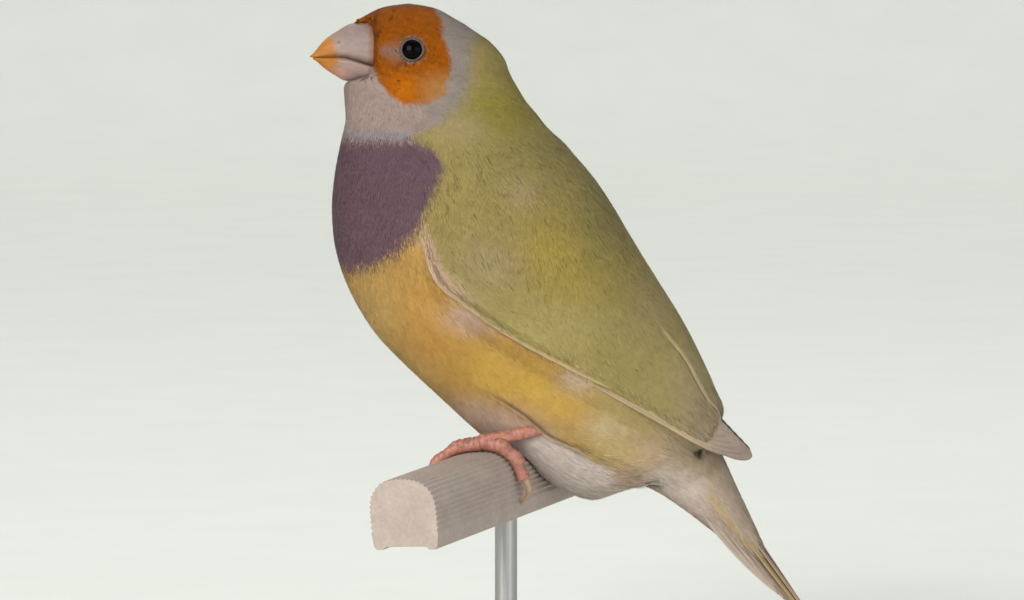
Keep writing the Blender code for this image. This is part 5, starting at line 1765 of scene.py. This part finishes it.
def claw_path(angles, alongs, claw_length):
    """Curved claw beyond the end of a toe."""
    path = []
    radii = []
    steps = 12
    turn = math.copysign(claw_length / 8.0, angles[1] - angles[0])
    for step in range(steps + 1):
        part = step / steps
        angle = angles[1] + turn * (part - 0.08)
        size = 0.92 + (0.12 - 0.92) * part ** 1.15
        arch = 1.25 * math.sin(math.pi * min(1.0, part * 1.1))
        reach = float(perch_reach(angle)) + size + 0.12 + arch + 0.15 * part
        along = alongs[1] + (alongs[1] - alongs[0]) * 0.25 * part
        path.append(perch_point(reach * math.sin(angle), reach * math.cos(angle), along))
        radii.append(size * 0.93)
    return path, radii


# Toes from root to tip: angles over the perch, places along it that are the same for both feet,
# places along it that are mirrored, then the radius and the length of the claw
TOES = (
    ((0.12, -1.68), (0.1, 0.0), (0.0, 0.6), 1.08, 5.9),
    ((0.12, -1.25), (0.0, 0.0), (-0.5, -4.2), 1.0, 4.8),
    ((0.12, -1.42), (0.0, 0.0), (0.5, 5.4), 1.0, 4.8),
    ((0.10, 1.45), (0.2, 2.0), (0.0, 0.0), 1.25, 5.6),
)
TUBE_ROWS_PER_MM = 9.0


def make_legs():
    """Lower legs and toes with their scutes, and the claws, for both feet."""
    pink = leg_material()
    horn = plain_material("claw_horn", "claw", 0.32, 0.5, 900.0, 0.18, 0.2, 0.00006)
    for side, word in SIDES:
        rng = np.random.default_rng(settings().seed + LEG_SEED)
        along = side * FOOT_SPACING / 2
        heel = Vector(LEFT_HEEL if side < 0 else RIGHT_HEEL)
        ankle = perch_point(1.3, PERCH_HALF_HEIGHT + FIT_GAP + 1.25, along)
        parts, claws = [], []
        toe_tone = tuple(value * 0.9 for value in settings().leg)
        for angles, shifts, mirrored, radius, claw_length in TOES:
            alongs = [along + shift + side * turned for shift, turned in zip(shifts, mirrored)]
            path, radii, out = toe_path(angles, alongs, radius)
            rows = tube_rows(path)
            faces_out = np.array([out[int(round(row / (rows - 1) * (len(out) - 1)))][:]
                                  for row in range(rows)])
            parts.append(scaled_tube(path, radii, faces_out, 0.95, 0.16, toe_tone, rng))
            path, radii = claw_path(angles, alongs, claw_length)
            claws.append(scaled_tube(path, radii, out[-1][:], 50.0, 0.0, settings().claw[:], rng, 16))
        line = heel - ankle
        path = [ankle + line * (step / 8) for step in range(9)]
        radii = [1.12 * (1.0 + 0.2 * abs(2 * step / 8 - 1) ** 3) for step in range(9)]
        front = Vector((-0.4, 0, 0.9))
        parts.append(scaled_tube(path, radii, front[:], 1.5, 0.12, settings().leg[:], rng, 24))
        knuckle = [ankle + line.normalized() * reach for reach in (-1.35, -0.9, 0.0, 0.9, 1.35)]
        parts.append(scaled_tube(knuckle, (0.3, 1.15, 1.42, 1.2, 0.9), front[:], 0.9, 0.08,
                                 settings().leg[:], rng, 24))
        for name, rows, material, nodes in (
            ("leg_and_foot_" + word, parts, pink, ("leg_" + word, "foot_" + word)),
            ("claws_" + word, claws, horn, ()),
        ):
            start = 0
            faces = []
            for points, shape, _ in rows:
                faces.append(shape + start)
                start += len(points)
            thing = place_mesh(name, np.vstack([row[0] for row in rows]), np.vstack(faces))
            set_values(thing, "plumage", np.vstack([row[2] for row in rows]))
            hang(thing, material, "leg_skin", *nodes)


# Perch, stand and stage

def dress(name, material):
    """Give a solid that shows its own material."""
    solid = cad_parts[name]
    solid.data.materials.clear()
    solid.data.materials.append(material)


def finish_perch():
    """Dusty grey beige of the ribbed perch."""
    material, tree, shader = new_material("perch_finish", 0.7, 0.3)
    broad = grained(tree, settings().perch[:], 260.0, 0.09)
    grain_finish(tree, shader, broad["Color"], 1500.0, 0.08, 0.4, 0.00012)
    dress("perch", material)


def finish_stand():
    """Brushed rod and pale lacquered base."""
    brushed = (1.0, 1.0, 0.05)
    dress("stand_rod", plain_material(
        "rod_finish", "metal", 0.42, 0.5, 300.0, 0.08, 0.15, 0.00005, brushed, Metallic=1.0))
    dress("stand_base", plain_material(
        "base_finish", "base", 0.42, 0.45, 180.0, 0.05, 0.12, 0.0001, Coat_Weight=0.2))


# Camera in metres, at the photograph's scale of 5.6 pixels to the millimetre
VIEW_CENTRE = (0.00107, 0.0, 0.0657)
VIEW_DISTANCE = 1.2
VIEW_ELEVATION = math.radians(4.0)
PHOTO_WIDTH_PIXELS = 1024
PIXELS_PER_MM = 5.6
VIEW_WIDTH = PHOTO_WIDTH_PIXELS / PIXELS_PER_MM * MM
SENSOR_WIDTH = 36.0

# Floor with its bend up to the backdrop, in millimetres
FLOOR_ROWS = 40
FLOOR_REACH = 1600.0
FLOOR_BEND = 500.0
FLOOR_DROP = 0.05
BACKDROP_HEIGHT = 1500.0

# Area lights in metres: name, place, aim, power, size, colour
LIGHTS = (
    ("key", (-0.60, -0.85, 0.50), (0, 0, 0.07), 13.0, 0.7, (1.0, 0.97, 0.93)),
    ("fill", (0.70, -0.80, 0.25), (0, 0, 0.07), 5.0, 0.9, (0.96, 0.98, 1.0)),
    ("top", (0.10, 0.30, 0.95), (0, 0, 0.07), 3.0, 0.8, (1.0, 1.0, 1.0)),
    ("far_floor", (0.00, 2.20, 1.80), (0, 2.4, 0), 42.0, 2.5, (1.0, 1.0, 1.0)),
)


def make_stage():
    """Pale floor and backdrop, soft lights, and the camera at the photograph's angle."""
    points = []
    for row in range(FLOOR_ROWS + 1):
        part = row / FLOOR_ROWS
        if part < 0.5:
            y = FLOOR_REACH * (4 * part - 1)
            z = 0.0
        else:
            turn = math.pi / 2 * min(1.0, (part - 0.5) / 0.25)
            y = FLOOR_REACH + FLOOR_BEND * math.sin(turn)
            z = FLOOR_BEND * (1 - math.cos(turn)) + max(0.0, part - 0.75) * 4 * BACKDROP_HEIGHT
        points += [(-2 * FLOOR_REACH, y, z - FLOOR_DROP), (2 * FLOOR_REACH, y, z - FLOOR_DROP)]
    faces = []
    for a in range(0, 2 * FLOOR_ROWS, 2):
        faces += [(a, a + 1, a + 3), (a, a + 3, a + 2)]
    floor = place_mesh("floor", points, faces)
    material, tree, shader = new_material("floor_finish", 0.9, 0.2)
    grain_finish(tree, shader, shade(214, 216, 208), 30.0, 0.015)
    floor.data.materials.append(material)
    scene = bpy.context.scene
    world = bpy.data.worlds.new("soft room")
    world.use_nodes = True
    world.node_tree.nodes["Background"].inputs["Color"].default_value = (0.80, 0.84, 0.88, 1.0)
    world.node_tree.nodes["Background"].inputs["Strength"].default_value = 0.50
    scene.world = world
    scene.view_settings.view_transform = "Standard"
    for name, spot, aim, power, size, tint in LIGHTS:
        light = bpy.data.lights.new(name, "AREA")
        light.energy = power
        light.size = size
        light.color = tint
        lamp = bpy.data.objects.new(name, light)
        lamp.location = spot
        lamp.rotation_euler = (Vector(aim) - Vector(spot)).to_track_quat("-Z", "Y").to_euler()
        scene.collection.objects.link(lamp)
    camera = bpy.data.cameras.new("view")
    camera.sensor_width = SENSOR_WIDTH
    camera.lens = SENSOR_WIDTH * VIEW_DISTANCE / VIEW_WIDTH
    camera.clip_start = 0.01
    camera.clip_end = 20.0
    eye = bpy.data.objects.new("view", camera)
    centre = Vector(VIEW_CENTRE)
    eye.location = centre + VIEW_DISTANCE * Vector((0, -math.cos(VIEW_ELEVATION), math.sin(VIEW_ELEVATION)))
    eye.rotation_euler = (centre - eye.location).to_track_quat("-Z", "Y").to_euler()
    scene.collection.objects.link(eye)
    scene.camera = eye


# Operators and panel

class FINCH_OT_skin(bpy.types.Operator):
    """Make the skin that replaces the head, neck, torso and rump"""

    bl_idname = "finch.skin"
    bl_label = "Skin"

    def execute(self, context):
        make_skin()
        return {"FINISHED"}


class FINCH_OT_plumage(bpy.types.Operator):
    """Cover the skin with small feathers that carry the markings"""

    bl_idname = "finch.plumage"
    bl_label = "Small plumage"

    def execute(self, context):
        make_coats()
        return {"FINISHED"}


class FINCH_OT_wings(bpy.types.Operator):
    """Make the flight feathers of both folded wings"""

    bl_idname = "finch.wings"
    bl_label = "Flight feathers"

    def execute(self, context):
        make_wings()
        return {"FINISHED"}


class FINCH_OT_tail(bpy.types.Operator):
    """Make the tail feathers"""

    bl_idname = "finch.tail"
    bl_label = "Tail feathers"

    def execute(self, context):
        make_tail()
        return {"FINISHED"}


class FINCH_OT_bill(bpy.types.Operator):
    """Make both halves of the bill"""

    bl_idname = "finch.bill"
    bl_label = "Bill"

    def execute(self, context):
        make_bill()
        return {"FINISHED"}


class FINCH_OT_eyes(bpy.types.Operator):
    """Make the eyes and their rings of bare skin"""

    bl_idname = "finch.eyes"
    bl_label = "Eyes"

    def execute(self, context):
        make_eyes()
        return {"FINISHED"}


class FINCH_OT_legs(bpy.types.Operator):
    """Make legs, toes and claws"""

    bl_idname = "finch.legs"
    bl_label = "Legs"

    def execute(self, context):
        make_legs()
        return {"FINISHED"}


class FINCH_OT_perch(bpy.types.Operator):
    """Finish the perch and the stand"""

    bl_idname = "finch.perch"
    bl_label = "Perch and stand"

    def execute(self, context):
        finish_perch()
        finish_stand()
        return {"FINISHED"}


class FINCH_OT_stage(bpy.types.Operator):
    """Set the floor, lights and camera"""

    bl_idname = "finch.stage"
    bl_label = "Stage"

    def execute(self, context):
        make_stage()
        return {"FINISHED"}


class FINCH_PT_panel(bpy.types.Panel):
    """Buttons and values of the finch"""

    bl_idname = "FINCH_PT_panel"
    bl_label = "Gouldian Finch"
    bl_space_type = "VIEW_3D"
    bl_region_type = "UI"
    bl_category = "Finch"

    def draw(self, context):
        layout = self.layout
        for operator in OPERATORS:
            layout.operator(operator.bl_idname)
        for name in FinchSettings.__annotations__:
            layout.prop(context.scene.finch_settings, name)


OPERATORS = (
    FINCH_OT_stage, FINCH_OT_skin, FINCH_OT_plumage, FINCH_OT_wings, FINCH_OT_tail, FINCH_OT_bill,
    FINCH_OT_eyes, FINCH_OT_legs, FINCH_OT_perch,
)


def register():
    bpy.utils.register_class(FinchSettings)
    for operator in OPERATORS:
        bpy.utils.register_class(operator)
    bpy.utils.register_class(FINCH_PT_panel)
    bpy.types.Scene.finch_settings = bpy.props.PointerProperty(type=FinchSettings)


def unregister():
    del bpy.types.Scene.finch_settings
    bpy.utils.unregister_class(FINCH_PT_panel)
    for operator in reversed(OPERATORS):
        bpy.utils.unregister_class(operator)
    bpy.utils.unregister_class(FinchSettings)


def main():
    register()
    bpy.ops.finch.stage()
    bpy.ops.finch.skin()
    bpy.ops.finch.plumage()
    bpy.ops.finch.wings()
    bpy.ops.finch.tail()
    bpy.ops.finch.bill()
    bpy.ops.finch.eyes()
    bpy.ops.finch.legs()
    bpy.ops.finch.perch()


if __name__ == "__main__":
    main()
